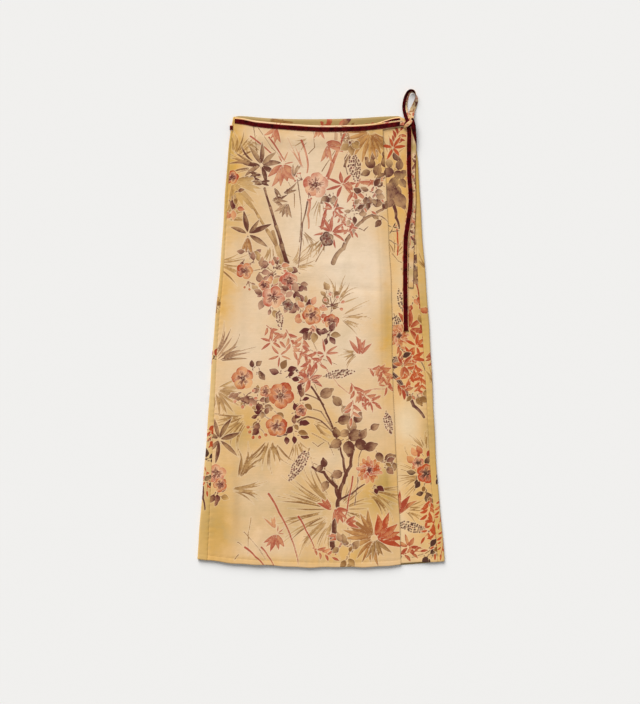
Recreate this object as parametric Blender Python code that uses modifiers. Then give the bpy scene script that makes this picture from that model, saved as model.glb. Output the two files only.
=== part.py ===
"""Satin wrap skirt with velvet ribbon ties, laid flat on its back.

Metres, +Z up. The waist points to +Y and the underside rests on z = 0. The origin is the
bottom centre of the skirt's box. Tables and named sizes are in millimetres, and MM turns
them into metres where points are placed.
"""

import math

import bmesh
import bpy
from mathutils import Vector

MM = 0.001

# Walls and the air between layers
WALL = 1.2  # satin panel
RIBBON_WALL = 1.0  # velvet ribbon, or ribbon and strap together
GAP = 0.3  # between pieces that touch
LAYER_GAP = 0.4  # between panels that lie on each other

# Heights of the upper face of each layer over the middle of the skirt
UNDER_TOP = 2 * WALL + LAYER_GAP
OVER_TOP = UNDER_TOP + WALL + LAYER_GAP
FOLD_DEPTH = 3.0  # how far a side fold takes to turn over, seen from above
LEFT_SWELL = 1.3  # how much the front layers rise to the soft side folds
RIGHT_SWELL = 1.9
SWELL_START, SWELL_END = 14.0, 75.0  # distance from the fold where the rise starts and ends

# The waist, where ribbons add their thickness between the layers
WAIST_START, WAIST_END = 346.0, 374.0  # Y of the foot and head of the rise
TIE_LIFT = RIBBON_WALL + 0.2 + GAP  # the tie passes under the back
UNDER_RIBBON_LIFT = RIBBON_WALL + GAP  # the inner ribbon lies between the two fronts

RIBBON_WIDTH = 9.0
STRAP_WIDTH = 11.0
RIBBON_DROP = 3.0  # from a panel's waist edge to its ribbon
WRAP_SEAM_X = 160.5  # where the front ribbon meets the knot

# The silhouette and seams, a row for each height: Y, left fold, right fold, how far the
# left and right side seams lie in from the folds, and X of the free edge of the over front
SILHOUETTE = (
    # y, left, right, left_seam, right_seam, wrap_edge
    (414.0, -170.9, 161.2, 4.0, 4.0, 119.0),
    (387.0, -175.3, 172.9, 4.0, 4.0, 120.2),
    (350.0, -179.9, 185.6, 4.2, 4.5, 122.2),
    (290.0, -185.0, 191.2, 5.0, 6.0, 125.6),
    (200.0, -190.6, 196.2, 6.0, 11.0, 130.9),
    (110.0, -196.9, 203.2, 7.0, 14.5, 135.3),
    (10.0, -206.9, 210.4, 8.0, 14.0, 138.2),
    (-90.0, -214.4, 216.4, 9.5, 13.0, 139.5),
    (-190.0, -221.0, 221.0, 12.0, 12.0, 142.8),
    (-290.0, -228.8, 226.6, 15.0, 12.0, 148.6),
    (-380.0, -235.9, 235.0, 18.0, 12.5, 153.0),
    (-450.0, -241.2, 241.2, 20.0, 13.0, 155.0),
)

# Waist edges: X and Y along each panel's upper edge
OVER_WAIST = ((-172, 411.6), (-150, 409), (-127, 404.4), (-64, 398.6), (0, 395), (60, 395.8),
              (95, 398), (155, 405.6))
BACK_WAIST = ((-171, 411.4), (-158, 413.8), (-100, 409.4), (-28, 407.6), (60, 409), (150, 413.6),
              (162, 408.6))
PEEK_START, PEEK_END, PEEK = 100.0, 146.0, 6.4  # where the under front stands above the over one

# The hem, a shallow arc that hangs lowest near the middle
HEM_LOW, HEM_RISE, HEM_CENTRE, HEM_REACH = -465.0, 16.0, 18.0, 259.0
UNDER_HEM_LIFT = 3.0

# The back tie: X and Y of its middle line from the slit on the left to the knot
TIE_LINE = ((-176, 390.5), (-120, 390), (0, 389), (100, 390.5), (172, 397))
TIE_SIDE_ANGLE = 28.0  # degrees up the right fold where it enters the knot

KNOT_CENTRE = (170.2, 397.6, 11.6)
KNOT_RADII = (8.4, 7.6, 3.9)

# Free ends of the ties, from the knot down: X, Y and height above the cloth below
LONG_TAIL = ((170.4, 389.0, 3.6), (171.8, 379, 2.4), (171.4, 348, 1.9), (171.8, 300, 1.9),
             (174.7, 250, 1.9), (168.9, 202, 1.9), (165.0, 172, 1.9), (164.0, 95, 1.8),
             (164.6, 50, 0.5), (165.5, -5, 0.5))
SHORT_TAIL = ((176.6, 389.0, 1.8), (179.4, 366, 0.5), (179.6, 340, 0.5), (179.2, 300, 0.5),
              (180.4, 250, 0.5), (178.4, 200, 0.5), (176.6, 150, 0.5), (175.4, 79, 0.5))

# The single bow loop: X, Y, Z of its middle line and the roll of the ribbon in degrees
LOOP_LINE = ((170.8, 406.0, 10.6, 0), (167.6, 415, 7.0, 4), (164.6, 430, 3.0, 20),
             (166.0, 444, 3.9, 40), (169.9, 455, 4.9, 65), (175.8, 464.3, 5.2, 90),
             (182.6, 459, 5.0, 112), (185.8, 450, 4.3, 135), (184.6, 440.5, 3.2, 155),
             (180.2, 431, 3.2, 168), (176.8, 419, 6.0, 176), (175.6, 406.0, 10.6, 180))


def smooth(low, high, value):
    """0 below low, 1 above high, with a soft turn at both."""
    t = min(max((value - low) / (high - low), 0.0), 1.0)
    return t * t * (3 - 2 * t)


def through(table, column, at, key=0):
    """A smooth curve through one column of a table, read at a value of its key column."""
    rows = sorted(table, key=lambda row: row[key])
    keys = [row[key] for row in rows]
    at = min(max(at, keys[0]), keys[-1])
    i = max(j for j in range(len(rows) - 1) if keys[j] <= at)

    def slope(j):
        a, b = max(j - 1, 0), min(j + 1, len(rows) - 1)
        return (rows[b][column] - rows[a][column]) / (keys[b] - keys[a])

    span = keys[i + 1] - keys[i]
    t = (at - keys[i]) / span
    start, end = rows[i][column], rows[i + 1][column]
    return ((2 * t**3 - 3 * t**2 + 1) * start + (t**3 - 2 * t**2 + t) * span * slope(i)
            + (3 * t**2 - 2 * t**3) * end + (t**3 - t**2) * span * slope(i + 1))


def left_fold(y):
    return through(SILHOUETTE, 1, y)


def right_fold(y):
    return through(SILHOUETTE, 2, y)


def left_seam(y):
    return left_fold(y) + through(SILHOUETTE, 3, y)


def right_seam(y):
    return right_fold(y) - through(SILHOUETTE, 4, y)


def wrap_edge(y):
    return through(SILHOUETTE, 5, y)


def hem(x):
    return HEM_LOW + HEM_RISE * ((x - HEM_CENTRE) / HEM_REACH) ** 2


def over_waist(x):
    return through(OVER_WAIST, 1, x)


def under_waist(x):
    return min(over_waist(x) + PEEK * smooth(PEEK_START, PEEK_END, x), through(BACK_WAIST, 1, x) - 0.6)


def back_waist(x):
    return through(BACK_WAIST, 1, x)


def waist_share(y):
    return smooth(WAIST_START, WAIST_END, y)


def tie_lift(y):
    return TIE_LIFT * waist_share(y)


def swell(x, y):
    """Rise of the front layers towards the two soft side folds."""
    left = LEFT_SWELL * (1 - waist_share(y)) * (1 - smooth(SWELL_START, SWELL_END, x - left_fold(y)))
    right = RIGHT_SWELL * (1 - smooth(SWELL_START, SWELL_END, right_fold(y) - x))
    return left + right


def under_top(x, y):
    return UNDER_TOP + tie_lift(y) + swell(x, y)


def over_top(x, y):
    return OVER_TOP + tie_lift(y) + UNDER_RIBBON_LIFT * waist_share(y) + swell(x, y)


def material(name, colour, roughness):
    made = bpy.data.materials.new(name)
    made.use_nodes = True
    shader = made.node_tree.nodes["Principled BSDF"]
    shader.inputs["Base Color"].default_value = (*colour, 1)
    shader.inputs["Roughness"].default_value = roughness
    shader.inputs["Metallic"].default_value = 0.0
    return made


def add_object(name, mesh, finish):
    made = bpy.data.objects.new(name, mesh)
    made.data.materials.append(finish)
    made.data.shade_smooth()
    skirt.objects.link(made)
    return made


def sheet(name, columns, rows, place, wall, finish):
    """A wall of cloth: a grid whose points place(column, row) puts on the outer face."""
    grid = bmesh.new()
    bmesh.ops.create_grid(grid, x_segments=columns, y_segments=rows, size=0.5)
    for vert in grid.verts:
        column = round((vert.co.x + 0.5) * columns)
        row = round((vert.co.y + 0.5) * rows)
        vert.co = Vector(place(column, row)) * MM
    mesh = bpy.data.meshes.new(name)
    grid.to_mesh(mesh)
    grid.free()
    made = add_object(name, mesh, finish)
    solidify = made.modifiers.new("wall", "SOLIDIFY")
    solidify.thickness = wall * MM
    solidify.offset = -1
    solidify.use_even_offset = True
    return made


# Rows are wide apart down the skirt and close together where the waist rises
BODY_ROWS, WAIST_ROWS, WAIST_SHARE = 16, 7, 0.92
ROWS = BODY_ROWS + WAIST_ROWS


def row_share(row):
    """Share of the way from hem to waist for a row of a panel."""
    if row <= BODY_ROWS:
        return WAIST_SHARE * row / BODY_ROWS
    return WAIST_SHARE + (1 - WAIST_SHARE) * (row - BODY_ROWS) / WAIST_ROWS


def between(hem_y, waist_y, row):
    return hem_y + (waist_y - hem_y) * row_share(row)


def settled(x_at, hem_at, waist_at, row):
    """A point on a row of a panel, where x depends on y and the edges' y depend on x."""
    y = between(hem_at(0), waist_at(0), row)
    for _ in range(4):
        x = x_at(y)
        y = between(hem_at(x), waist_at(x), row)
    return x_at(y), y


def over_front():
    """The front that shows, from the left side seam to its free edge."""
    columns = 20

    def place(column, row):
        def across(y):
            left = left_seam(y) + GAP
            return left + (wrap_edge(y) - left) * column / columns

        x, y = settled(across, hem, over_waist, row)
        return x, y, over_top(x, y)

    sheet("over_front_panel", columns, ROWS, place, WALL, satin_front)


def under_front():
    """The front beneath it, from near the left fold to the right side seam."""
    columns = 16
    from_fold = 16.0

    def under_hem(x):
        return hem(x) + UNDER_HEM_LIFT * (1 - smooth(-40, 0, x - right_seam(HEM_LOW)))

    def place(column, row):
        def across(y):
            left, right = left_seam(y) + from_fold, right_seam(y) - GAP
            return left + (right - left) * column / columns

        x, y = settled(across, under_hem, under_waist, row)
        return x, y, under_top(x, y)

    sheet("under_front_panel", columns, ROWS, place, WALL, satin_under)


def around(angle, side, grow, y):
    """A point on a side fold, from below (-90 degrees) to above (90), grown outwards."""
    fold = left_fold(y) if side < 0 else right_fold(y)
    middle_x = fold - side * FOLD_DEPTH
    bottom = tie_lift(y)
    top = over_top(middle_x, y) if side < 0 else under_top(middle_x, y)
    turn = math.radians(angle)
    x = middle_x + side * (FOLD_DEPTH + grow) * math.cos(turn)
    z = (bottom + top) / 2 + ((top - bottom) / 2 + grow) * math.sin(turn)
    return x, z


FOLD_STEPS, STRIP_STEPS, BASE_STEPS = 6, 2, 12


def back():
    """The back, flat below, turned over both side folds to the seams on the front."""
    columns = 2 * (FOLD_STEPS + STRIP_STEPS) + BASE_STEPS
    turned = FOLD_STEPS + STRIP_STEPS

    def side_point(step, side, y):
        """x, z from a side seam (step 0), over its fold, to the underside (the last)."""
        if step >= STRIP_STEPS:
            return around(90 - 180 * (step - STRIP_STEPS) / FOLD_STEPS, side, 0, y)
        seam = left_seam(y) if side < 0 else right_seam(y)
        x = seam + (around(90, side, 0, y)[0] - seam) * step / STRIP_STEPS
        return x, over_top(x, y) if side < 0 else under_top(x, y)

    def base_point(share, y):
        right, left = around(-90, 1, 0, y)[0], around(-90, -1, 0, y)[0]
        return right + (left - right) * share, tie_lift(y)

    def place(column, row):
        def point(y):
            if column <= turned:
                return side_point(column, 1, y)
            if column >= columns - turned:
                return side_point(columns - column, -1, y)
            return base_point((column - turned) / BASE_STEPS, y)

        x, y = settled(lambda y: point(y)[0], hem, back_waist, row)
        return x, y, point(y)[1]

    sheet("back_panel", columns, ROWS, place, WALL, satin_back)


def over_ribbon():
    """Velvet ribbon under the waist edge of the over front, running on to the knot."""
    columns = 30

    def place(column, row):
        start = left_seam(over_waist(-170) - RIBBON_DROP) + 1.0
        x = start + (WRAP_SEAM_X - start) * column / columns
        y = over_waist(x) - RIBBON_DROP - RIBBON_WIDTH * (1 - row)
        return x, y, over_top(x, over_waist(x)) + GAP + RIBBON_WALL

    sheet("over_waist_ribbon", columns, 1, place, RIBBON_WALL, velvet)


def under_ribbon():
    """Velvet ribbon under the waist edge of the under front."""
    columns = 26
    start_from_fold, end = 26.0, 154.0

    def place(column, row):
        start = left_fold(over_waist(-170)) + start_from_fold
        x = start + (end - start) * column / columns
        y = under_waist(x) - RIBBON_DROP + 1.0 - RIBBON_WIDTH * (1 - row)
        return x, y, under_top(x, under_waist(x)) + GAP + RIBBON_WALL - 0.1

    sheet("under_waist_ribbon", columns, 1, place, RIBBON_WALL - 0.1, velvet)


def back_tie():
    """The under front's tie: out of the slit on the left, under the back, up to the knot."""
    base_steps, side_steps = 16, 6
    columns = base_steps + 2 * side_steps
    grow = TIE_LIFT

    def place(column, row):
        from_middle = STRAP_WIDTH * (row / 2 - 0.5)
        if column < side_steps:
            y = through(TIE_LINE, 1, 200) + from_middle
            x, z = around(TIE_SIDE_ANGLE - (TIE_SIDE_ANGLE + 90) * column / side_steps, 1, grow, y)
        elif column > columns - side_steps:
            y = through(TIE_LINE, 1, -200) + from_middle
            x, z = around(-90 + 180 * (column - columns + side_steps) / side_steps, -1, grow, y)
        else:
            right = around(-90, 1, 0, through(TIE_LINE, 1, 200) + from_middle)[0]
            left = around(-90, -1, 0, through(TIE_LINE, 1, -200) + from_middle)[0]
            x = right + (left - right) * (column - side_steps) / base_steps
            y, z = through(TIE_LINE, 1, x) + from_middle, 0.0
        return x, y, z

    sheet("back_tie", columns, 2, place, TIE_LIFT - GAP, velvet)


def knot():
    """The flat granny knot of the two ties, a squashed round lump."""
    lump = bmesh.new()
    bmesh.ops.create_uvsphere(lump, u_segments=20, v_segments=12, radius=1)
    for vert in lump.verts:
        vert.co = Vector(c + r * v for c, r, v in zip(KNOT_CENTRE, KNOT_RADII, vert.co)) * MM
    mesh = bpy.data.meshes.new("tie_knot")
    lump.to_mesh(mesh)
    lump.free()
    add_object("tie_knot", mesh, velvet)


def tail(name, line, steps, finish):
    """A free end of a tie, flat on the cloth below it."""
    start, end = line[0][1], line[-1][1]

    def middle(y):
        return through(line, 0, y, key=1)

    def place(column, row):
        y = end + (start - end) * row / steps
        lean = math.atan((middle(y - 1) - middle(y + 1)) / 2)
        across = STRAP_WIDTH * (column - 0.5)
        x = middle(y) + across * math.cos(lean)
        y_out = y + across * math.sin(lean)
        rest = under_top(min(x, right_fold(y) - FOLD_DEPTH), y)
        return x, y_out, rest + through(line, 2, y, key=1) + RIBBON_WALL

    sheet(name, 1, steps, place, RIBBON_WALL, finish)


def loop():
    """The bow loop: a ribbon carried round a teardrop, rolling over at its top."""
    steps = 33
    spans = len(LOOP_LINE) - 1
    table = [(i, *point) for i, point in enumerate(LOOP_LINE)]

    def at(t):
        return Vector(through(table, axis, t) for axis in (1, 2, 3)), through(table, 4, t)

    def place(column, row):
        t = spans * row / steps
        centre, roll = at(t)
        ahead = at(min(t + 0.05, spans))[0] - at(max(t - 0.05, 0))[0]
        flat = Vector((ahead.y, -ahead.x, 0)).normalized()
        up = Vector((0, 0, 1))
        turn = math.radians(roll)
        across = flat * math.cos(turn) - up * math.sin(turn)
        return centre + across * RIBBON_WIDTH * (column - 0.5)

    made = sheet("tie_loop", 1, steps, place, RIBBON_WALL, velvet)
    made.modifiers["wall"].offset = 0


for old in list(bpy.data.objects):
    bpy.data.objects.remove(old, do_unlink=True)
skirt = bpy.data.collections.new("wrap_skirt")
bpy.context.scene.collection.children.link(skirt)

satin_front = material("printed satin, over front", (0.72, 0.55, 0.33), 0.42)
satin_under = material("printed satin, under front", (0.68, 0.49, 0.26), 0.42)
satin_back = material("printed satin, back", (0.62, 0.45, 0.22), 0.45)
velvet = material("burgundy velvet", (0.040, 0.004, 0.006), 0.9)
satin_reverse = material("satin side of a tie", (0.70, 0.52, 0.42), 0.45)

back()
under_front()
over_front()
under_ribbon()
over_ribbon()
back_tie()
knot()
loop()
tail("short_tail", SHORT_TAIL, 26, satin_reverse)
tail("long_tail", LONG_TAIL, 32, velvet)
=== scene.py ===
import bpy
import math
import numpy as np
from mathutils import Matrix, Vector


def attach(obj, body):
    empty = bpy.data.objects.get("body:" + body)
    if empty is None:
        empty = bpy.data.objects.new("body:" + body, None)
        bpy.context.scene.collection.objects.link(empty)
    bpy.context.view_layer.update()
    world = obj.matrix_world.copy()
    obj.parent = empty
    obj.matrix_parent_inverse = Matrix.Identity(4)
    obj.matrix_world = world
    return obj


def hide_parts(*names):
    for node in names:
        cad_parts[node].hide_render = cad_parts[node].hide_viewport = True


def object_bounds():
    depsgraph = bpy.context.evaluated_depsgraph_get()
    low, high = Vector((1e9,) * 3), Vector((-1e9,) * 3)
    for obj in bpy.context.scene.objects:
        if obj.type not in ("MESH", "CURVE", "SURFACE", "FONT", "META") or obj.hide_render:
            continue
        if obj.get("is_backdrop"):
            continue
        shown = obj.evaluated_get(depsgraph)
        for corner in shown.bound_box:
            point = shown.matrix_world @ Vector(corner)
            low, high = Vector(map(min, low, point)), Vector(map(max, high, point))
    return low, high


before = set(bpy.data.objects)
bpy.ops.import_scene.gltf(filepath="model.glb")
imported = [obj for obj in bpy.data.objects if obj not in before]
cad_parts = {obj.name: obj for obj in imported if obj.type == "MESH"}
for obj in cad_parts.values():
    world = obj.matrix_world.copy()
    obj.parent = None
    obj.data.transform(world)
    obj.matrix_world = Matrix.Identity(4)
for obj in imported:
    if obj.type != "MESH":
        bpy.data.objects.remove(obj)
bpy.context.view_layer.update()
mm = 0.001  # every size below is in millimetres, and meshes are in metres

studio = {
    "viewHeight": 1372.8,  # how much of the floor the view takes in, from its foot to its top
    "lens": 100.0,
    "aim": (-1.8, -45.8),
    "clipEnd": 20,  # this and the next two in metres
    "floorSize": 12,
    "floorDrop": 0.0004,
    "floorColour": "EEEDEB",
    "floorRoughness": 0.9,
    "floorShine": 0.1,
    "keyFrom": (-0.34, 0.88, 0.62),  # the sun's direction, from above and a little left
    "keyStrength": 3.75,
    "keyAngle": 44.0,
    "fill": 0.37,
}


def tint(code, alpha=1.0):
    # a linear colour from its six hexadecimal digits
    values = [int(code[i:i + 2], 16) / 255 for i in (0, 2, 4)]
    return (*[v / 12.92 if v <= 0.04045 else ((v + 0.055) / 1.055) ** 2.4 for v in values], alpha)


def makeStudio():
    # a camera straight above, one broad sun, an even fill and a paper floor
    scene = bpy.context.scene
    scene.view_settings.view_transform = "Standard"
    camera = bpy.data.objects.new("camera", bpy.data.cameras.new("camera"))
    scene.collection.objects.link(camera)
    camera.data.lens = studio["lens"]
    distance = studio["viewHeight"] * mm * studio["lens"] / camera.data.sensor_width
    camera.location = (studio["aim"][0] * mm, studio["aim"][1] * mm, distance)
    camera.data.clip_end = studio["clipEnd"]
    scene.camera = camera
    sun = bpy.data.objects.new("keyLight", bpy.data.lights.new("keyLight", "SUN"))
    scene.collection.objects.link(sun)
    sun.data.energy = studio["keyStrength"]
    sun.data.angle = math.radians(studio["keyAngle"])
    sun.rotation_mode = "QUATERNION"
    sun.rotation_quaternion = Vector(studio["keyFrom"]).to_track_quat("Z", "Y")
    world = bpy.data.worlds.new("studio")
    world.use_nodes = True
    background = world.node_tree.nodes["Background"].inputs
    background["Color"].default_value = (1, 1, 1, 1)
    background["Strength"].default_value = studio["fill"]
    scene.world = world
    bpy.ops.mesh.primitive_plane_add(size=studio["floorSize"], location=(0, 0, -studio["floorDrop"]))
    floor = bpy.context.object
    floor.name = "floor"
    paper = bpy.data.materials.new("paper")
    paper.use_nodes = True
    shader = paper.node_tree.nodes["Principled BSDF"]
    shader.inputs["Base Color"].default_value = tint(studio["floorColour"])
    shader.inputs["Roughness"].default_value = studio["floorRoughness"]
    shader.inputs["Specular IOR Level"].default_value = studio["floorShine"]
    floor.data.materials.append(paper)
    floor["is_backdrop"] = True


makeStudio()
print("studio ready")

cut = {
    # y, left fold, right fold, left seam in, right seam in, wrap edge
    "silhouette": np.array((
        (414.0, -170.9, 161.2, 4.0, 4.0, 119.0),
        (387.0, -175.3, 172.9, 4.0, 4.0, 120.2),
        (350.0, -179.9, 185.6, 4.2, 4.5, 122.2),
        (290.0, -185.0, 191.2, 5.0, 6.0, 125.6),
        (200.0, -190.6, 196.2, 6.0, 11.0, 130.9),
        (110.0, -196.9, 203.2, 7.0, 14.5, 135.3),
        (10.0, -206.9, 210.4, 8.0, 14.0, 138.2),
        (-90.0, -214.4, 216.4, 9.5, 13.0, 139.5),
        (-190.0, -221.0, 221.0, 12.0, 12.0, 142.8),
        (-290.0, -228.8, 226.6, 15.0, 12.0, 148.6),
        (-380.0, -235.9, 235.0, 18.0, 12.5, 153.0),
        (-450.0, -241.2, 241.2, 20.0, 13.0, 155.0),
    ))[::-1],
    "overWaist": np.array(((-172, 411.6), (-150, 409), (-127, 404.4), (-64, 398.6), (0, 395),
                           (60, 395.8), (95, 398), (155, 405.6))),
    "backWaist": np.array(((-171, 411.4), (-158, 413.8), (-100, 409.4), (-28, 407.6), (60, 409),
                           (150, 413.6), (162, 408.6))),
    "peek": (100.0, 146.0, 6.4),  # where and how far the under front stands above the over one
    "hemLow": -465.0,
    "hemRise": 16.0,
    "hemCentre": 18.0,
    "hemReach": 259.0,
    "underHemLift": 3.0,
    "wall": 0.8,  # satin with its seam allowance
    "underTop": 2.8,  # heights of each layer's upper face
    "overTop": 4.4,
    "foldDepth": 3.0,
    "leftSwell": 1.3,
    "rightSwell": 1.9,
    "swell": (14.0, 75.0),
    "waistRise": (346.0, 374.0),
    "tieLift": 1.5,
    "ribbonLift": 1.3,
}


def smooth(low, high, value):
    # 0 below low, 1 above high, with a soft turn at both
    t = np.clip((value - low) / (high - low), 0.0, 1.0)
    return t * t * (3 - 2 * t)


def through(table, column, at, key=0):
    # a smooth curve through one column of a table whose key column rises
    keys, values = table[:, key].astype(float), table[:, column].astype(float)
    at = np.clip(at, keys[0], keys[-1])
    slopes = np.gradient(values) / np.gradient(keys)
    i = np.clip(np.searchsorted(keys, at, side="right") - 1, 0, len(keys) - 2)
    span = keys[i + 1] - keys[i]
    t = (at - keys[i]) / span
    return ((2 * t**3 - 3 * t**2 + 1) * values[i] + (t**3 - 2 * t**2 + t) * span * slopes[i]
            + (3 * t**2 - 2 * t**3) * values[i + 1] + (t**3 - t**2) * span * slopes[i + 1])


def lineOf(name, column=1):
    # one column of a cut table, as a function of the table's first column
    return lambda at: through(cut[name], column, at)


leftFold, rightFold, leftTurn, rightTurn, wrapEdge = (lineOf("silhouette", column) for column in range(1, 6))
overWaist, backWaist = lineOf("overWaist"), lineOf("backWaist")


def leftSeam(y):
    return leftFold(y) + leftTurn(y)


def rightSeam(y):
    return rightFold(y) - rightTurn(y)


def hem(x):
    # a shallow parabola, lowest a little right of the middle
    return cut["hemLow"] + cut["hemRise"] * ((x - cut["hemCentre"]) / cut["hemReach"]) ** 2


def underWaist(x):
    # the over front's waist line, standing a little higher past the wrap edge
    start, end, rise = cut["peek"]
    return np.minimum(overWaist(x) + rise * smooth(start, end, x), backWaist(x) - 0.6)


def underHem(x):
    # lifted a little wherever the over front covers it
    return hem(x) + cut["underHemLift"] * (1 - smooth(-40, 0, x - rightSeam(cut["hemLow"])))


def waistShare(y):
    # 0 on the skirt, 1 at the waist, where ribbons and ties thicken the layers
    return smooth(*cut["waistRise"], y)


def layerTop(x, y, layer):
    # height of the upper face of the under (0) or over (1) front, before any crease
    left = cut["leftSwell"] * (1 - waistShare(y)) * (1 - smooth(*cut["swell"], x - leftFold(y)))
    right = cut["rightSwell"] * (1 - smooth(*cut["swell"], rightFold(y) - x))
    base = cut["overTop"] if layer else cut["underTop"]
    return base + (cut["tieLift"] + layer * cut["ribbonLift"]) * waistShare(y) + left + right


def settled(xAt, low, high, t):
    # points of a panel at share t from hem to waist, where x hangs on y and y on x
    y = low(0.0) + (high(0.0) - low(0.0)) * t
    for _ in range(4):
        x = xAt(y)
        y = low(x) + (high(x) - low(x)) * t
    return xAt(y), y


# Creases: x, y of the middle, direction in degrees, length, half width, height, bow
overCreases = (
    (112, 352, 84, 95, 5.0, 1.0, 3), (103, 340, 95, 110, 6.0, -0.7, -4), (92, 356, 98, 80, 5.0, 0.7, 2),
    (120, 300, 86, 120, 6.0, -0.6, 3), (70, 364, 100, 60, 6.0, 0.5, 3), (30, 366, 88, 55, 7.0, -0.5, 2),
    (-20, 362, 93, 60, 7.0, 0.5, 2), (-70, 368, 84, 50, 6.0, -0.5, 3), (-120, 372, 76, 60, 6.0, 0.6, 4),
    (-150, 350, 70, 90, 7.0, -0.6, 6), (-158, 300, 100, 120, 8.0, 0.8, -5),
    (-148, 180, 97, 190, 9.0, -0.7, 6), (-165, 60, 96, 210, 10.0, 0.9, -7),
    (-177, -140, 94, 230, 10.0, -0.8, 6), (-176, -330, 92, 230, 10.0, 1.4, -4),
    (-150, -360, 90, 170, 13.0, -0.9, 5), (-60, 95, 12, 160, 9.0, 0.5, 6), (60, 84, -8, 190, 8.0, -0.6, -5),
    (30, 120, 4, 140, 9.0, 0.5, 7), (118, 60, 92, 220, 8.0, 0.9, 5), (124, -60, 93, 190, 9.0, -0.7, -4),
    (96, -10, 97, 240, 14.0, 0.6, 8), (131, -318, 101, 120, 6.0, 1.5, 4), (121, -340, 100, 110, 7.0, -0.9, 4),
    (100, -390, 96, 120, 10.0, 0.8, 3), (40, -280, 86, 260, 16.0, -0.7, 8),
    (-20, -200, 93, 300, 18.0, 0.7, -9), (-90, -300, 87, 240, 15.0, -0.6, 8),
    (-30, -420, 84, 80, 9.0, 0.9, 4), (10, -425, 98, 75, 8.0, -0.8, 3), (65, -420, 90, 85, 9.0, 1.0, -3),
    (-80, -428, 95, 70, 8.0, -0.9, 3), (-120, -424, 88, 85, 9.0, 1.0, 3), (-10, 240, 60, 130, 12.0, 0.5, 8),
    (-100, 250, 120, 120, 12.0, -0.5, 8), (60, 210, 40, 110, 12.0, -0.4, 6),
)
underCreases = (
    (140, 350, 85, 80, 4.5, 0.6, 3), (160, 300, 80, 110, 5.0, -0.5, 4), (150, 200, 96, 140, 6.0, 0.5, 4),
    (176, 120, 92, 150, 5.0, -0.5, 3), (160, 20, 88, 160, 7.0, 0.5, -4), (185, -60, 93, 150, 6.0, -0.5, 4),
    (170, -180, 98, 130, 7.0, 0.6, 5), (205, -260, 92, 130, 5.0, 0.5, 3), (180, -340, 100, 120, 7.0, -0.6, 5),
    (176, -420, 92, 80, 6.0, 0.7, 3), (205, -420, 86, 80, 6.0, -0.6, 3), (222, -400, 94, 90, 5.0, 0.6, 2),
    (158, -400, 90, 90, 5.0, -0.4, 2),
)
backCreases = (
    (-160, 340, 84, 110, 7.0, 0.5, 4), (-100, 300, 95, 160, 9.0, 0.6, 6), (-40, 340, 88, 120, 8.0, 0.5, 4),
    (30, 320, 96, 150, 9.0, 0.5, 5), (90, 335, 82, 120, 8.0, 0.6, 4), (-130, 60, 92, 260, 12.0, 0.6, 9),
    (-30, 40, 100, 220, 14.0, 0.5, 9), (70, 0, 86, 260, 12.0, 0.6, 8), (150, -60, 93, 260, 10.0, 0.6, 7),
    (-180, -250, 93, 250, 10.0, 0.6, 7), (-90, -330, 88, 200, 10.0, 0.6, 6), (0, -350, 94, 190, 11.0, 0.6, 6),
    (110, -340, 91, 210, 10.0, 0.6, 6), (190, -330, 88, 200, 9.0, 0.5, 5),
)


def creased(x, y, creases):
    # soft ridges and troughs: each is a bell across its bowed line, fading at its ends
    height = np.zeros(np.shape(x))
    for cx, cy, turn, length, half, rise, bow in creases:
        ux, uy = math.cos(math.radians(turn)), math.sin(math.radians(turn))
        along = ((x - cx) * ux + (y - cy) * uy) / (length / 2)
        across = (y - cy) * ux - (x - cx) * uy - bow * (1 - along**2)
        fade = np.clip(1 - along**2, 0, 1) ** 1.5
        height += rise * fade * np.exp(-(across / half) ** 2)
    return height


def rippled(x, y, size):
    # broad unevenness of cloth laid by hand, from a few slow waves that never line up
    return size * (np.sin(x / 47 + y / 163 + 0.6) * 0.5 + np.sin(x / 83 - y / 71 + 2.1) * 0.35
                   + np.sin(x / 29 + y / 101 + 4.0) * 0.25 + np.sin(x / 19 - y / 53) * 0.12)


def puckered(alongSeam, fromSeam, size, reach):
    # small uneven gathers beside a line of stitches
    wave = np.sin(alongSeam / 1.9 + 1.6 * np.sin(alongSeam / 13)) * (0.6 + 0.4 * np.sin(alongSeam / 31 + 1))
    return size * wave * np.exp(-np.abs(fromSeam) / reach)


def furrow(distance, depth, half):
    # a bell-shaped dip (or rise) beside a line
    return depth * np.exp(-(distance / half) ** 2)


def stitched(along, distance, dip, gather):
    # a line of stitches: a furrow with puckers beside it
    return puckered(along, distance, *gather) - furrow(distance, *dip)


def relief(x, y, creases, setup):
    # a front's loft, creases and slow waves
    return setup["loft"] + setup["crease"] * creased(x, y, creases) + rippled(x, y, setup["wave"])


# A furrow is depth and half width; a line of stitches is its furrow, then size and reach of its puckers
overSetup = {
    "columns": 188, "rows": 464,
    "loft": 1.5, "crease": 1.35, "wave": 0.85,  # away from the edges
    "hemTurn": 10.0, "wrapTurn": 18.0,  # how wide the hem and the wrap edge are turned in
    "seam": ((0.5, 1.8), (0.28, 5.0)), "hem": ((0.42, 1.6), (0.26, 7.0)), "hemRoll": (0.25, 5.0),
    "wrap": (0.3, 2.2), "wrapPucker": (0.12, 6.0), "waist": (0.5, 1.2),
}


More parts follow.
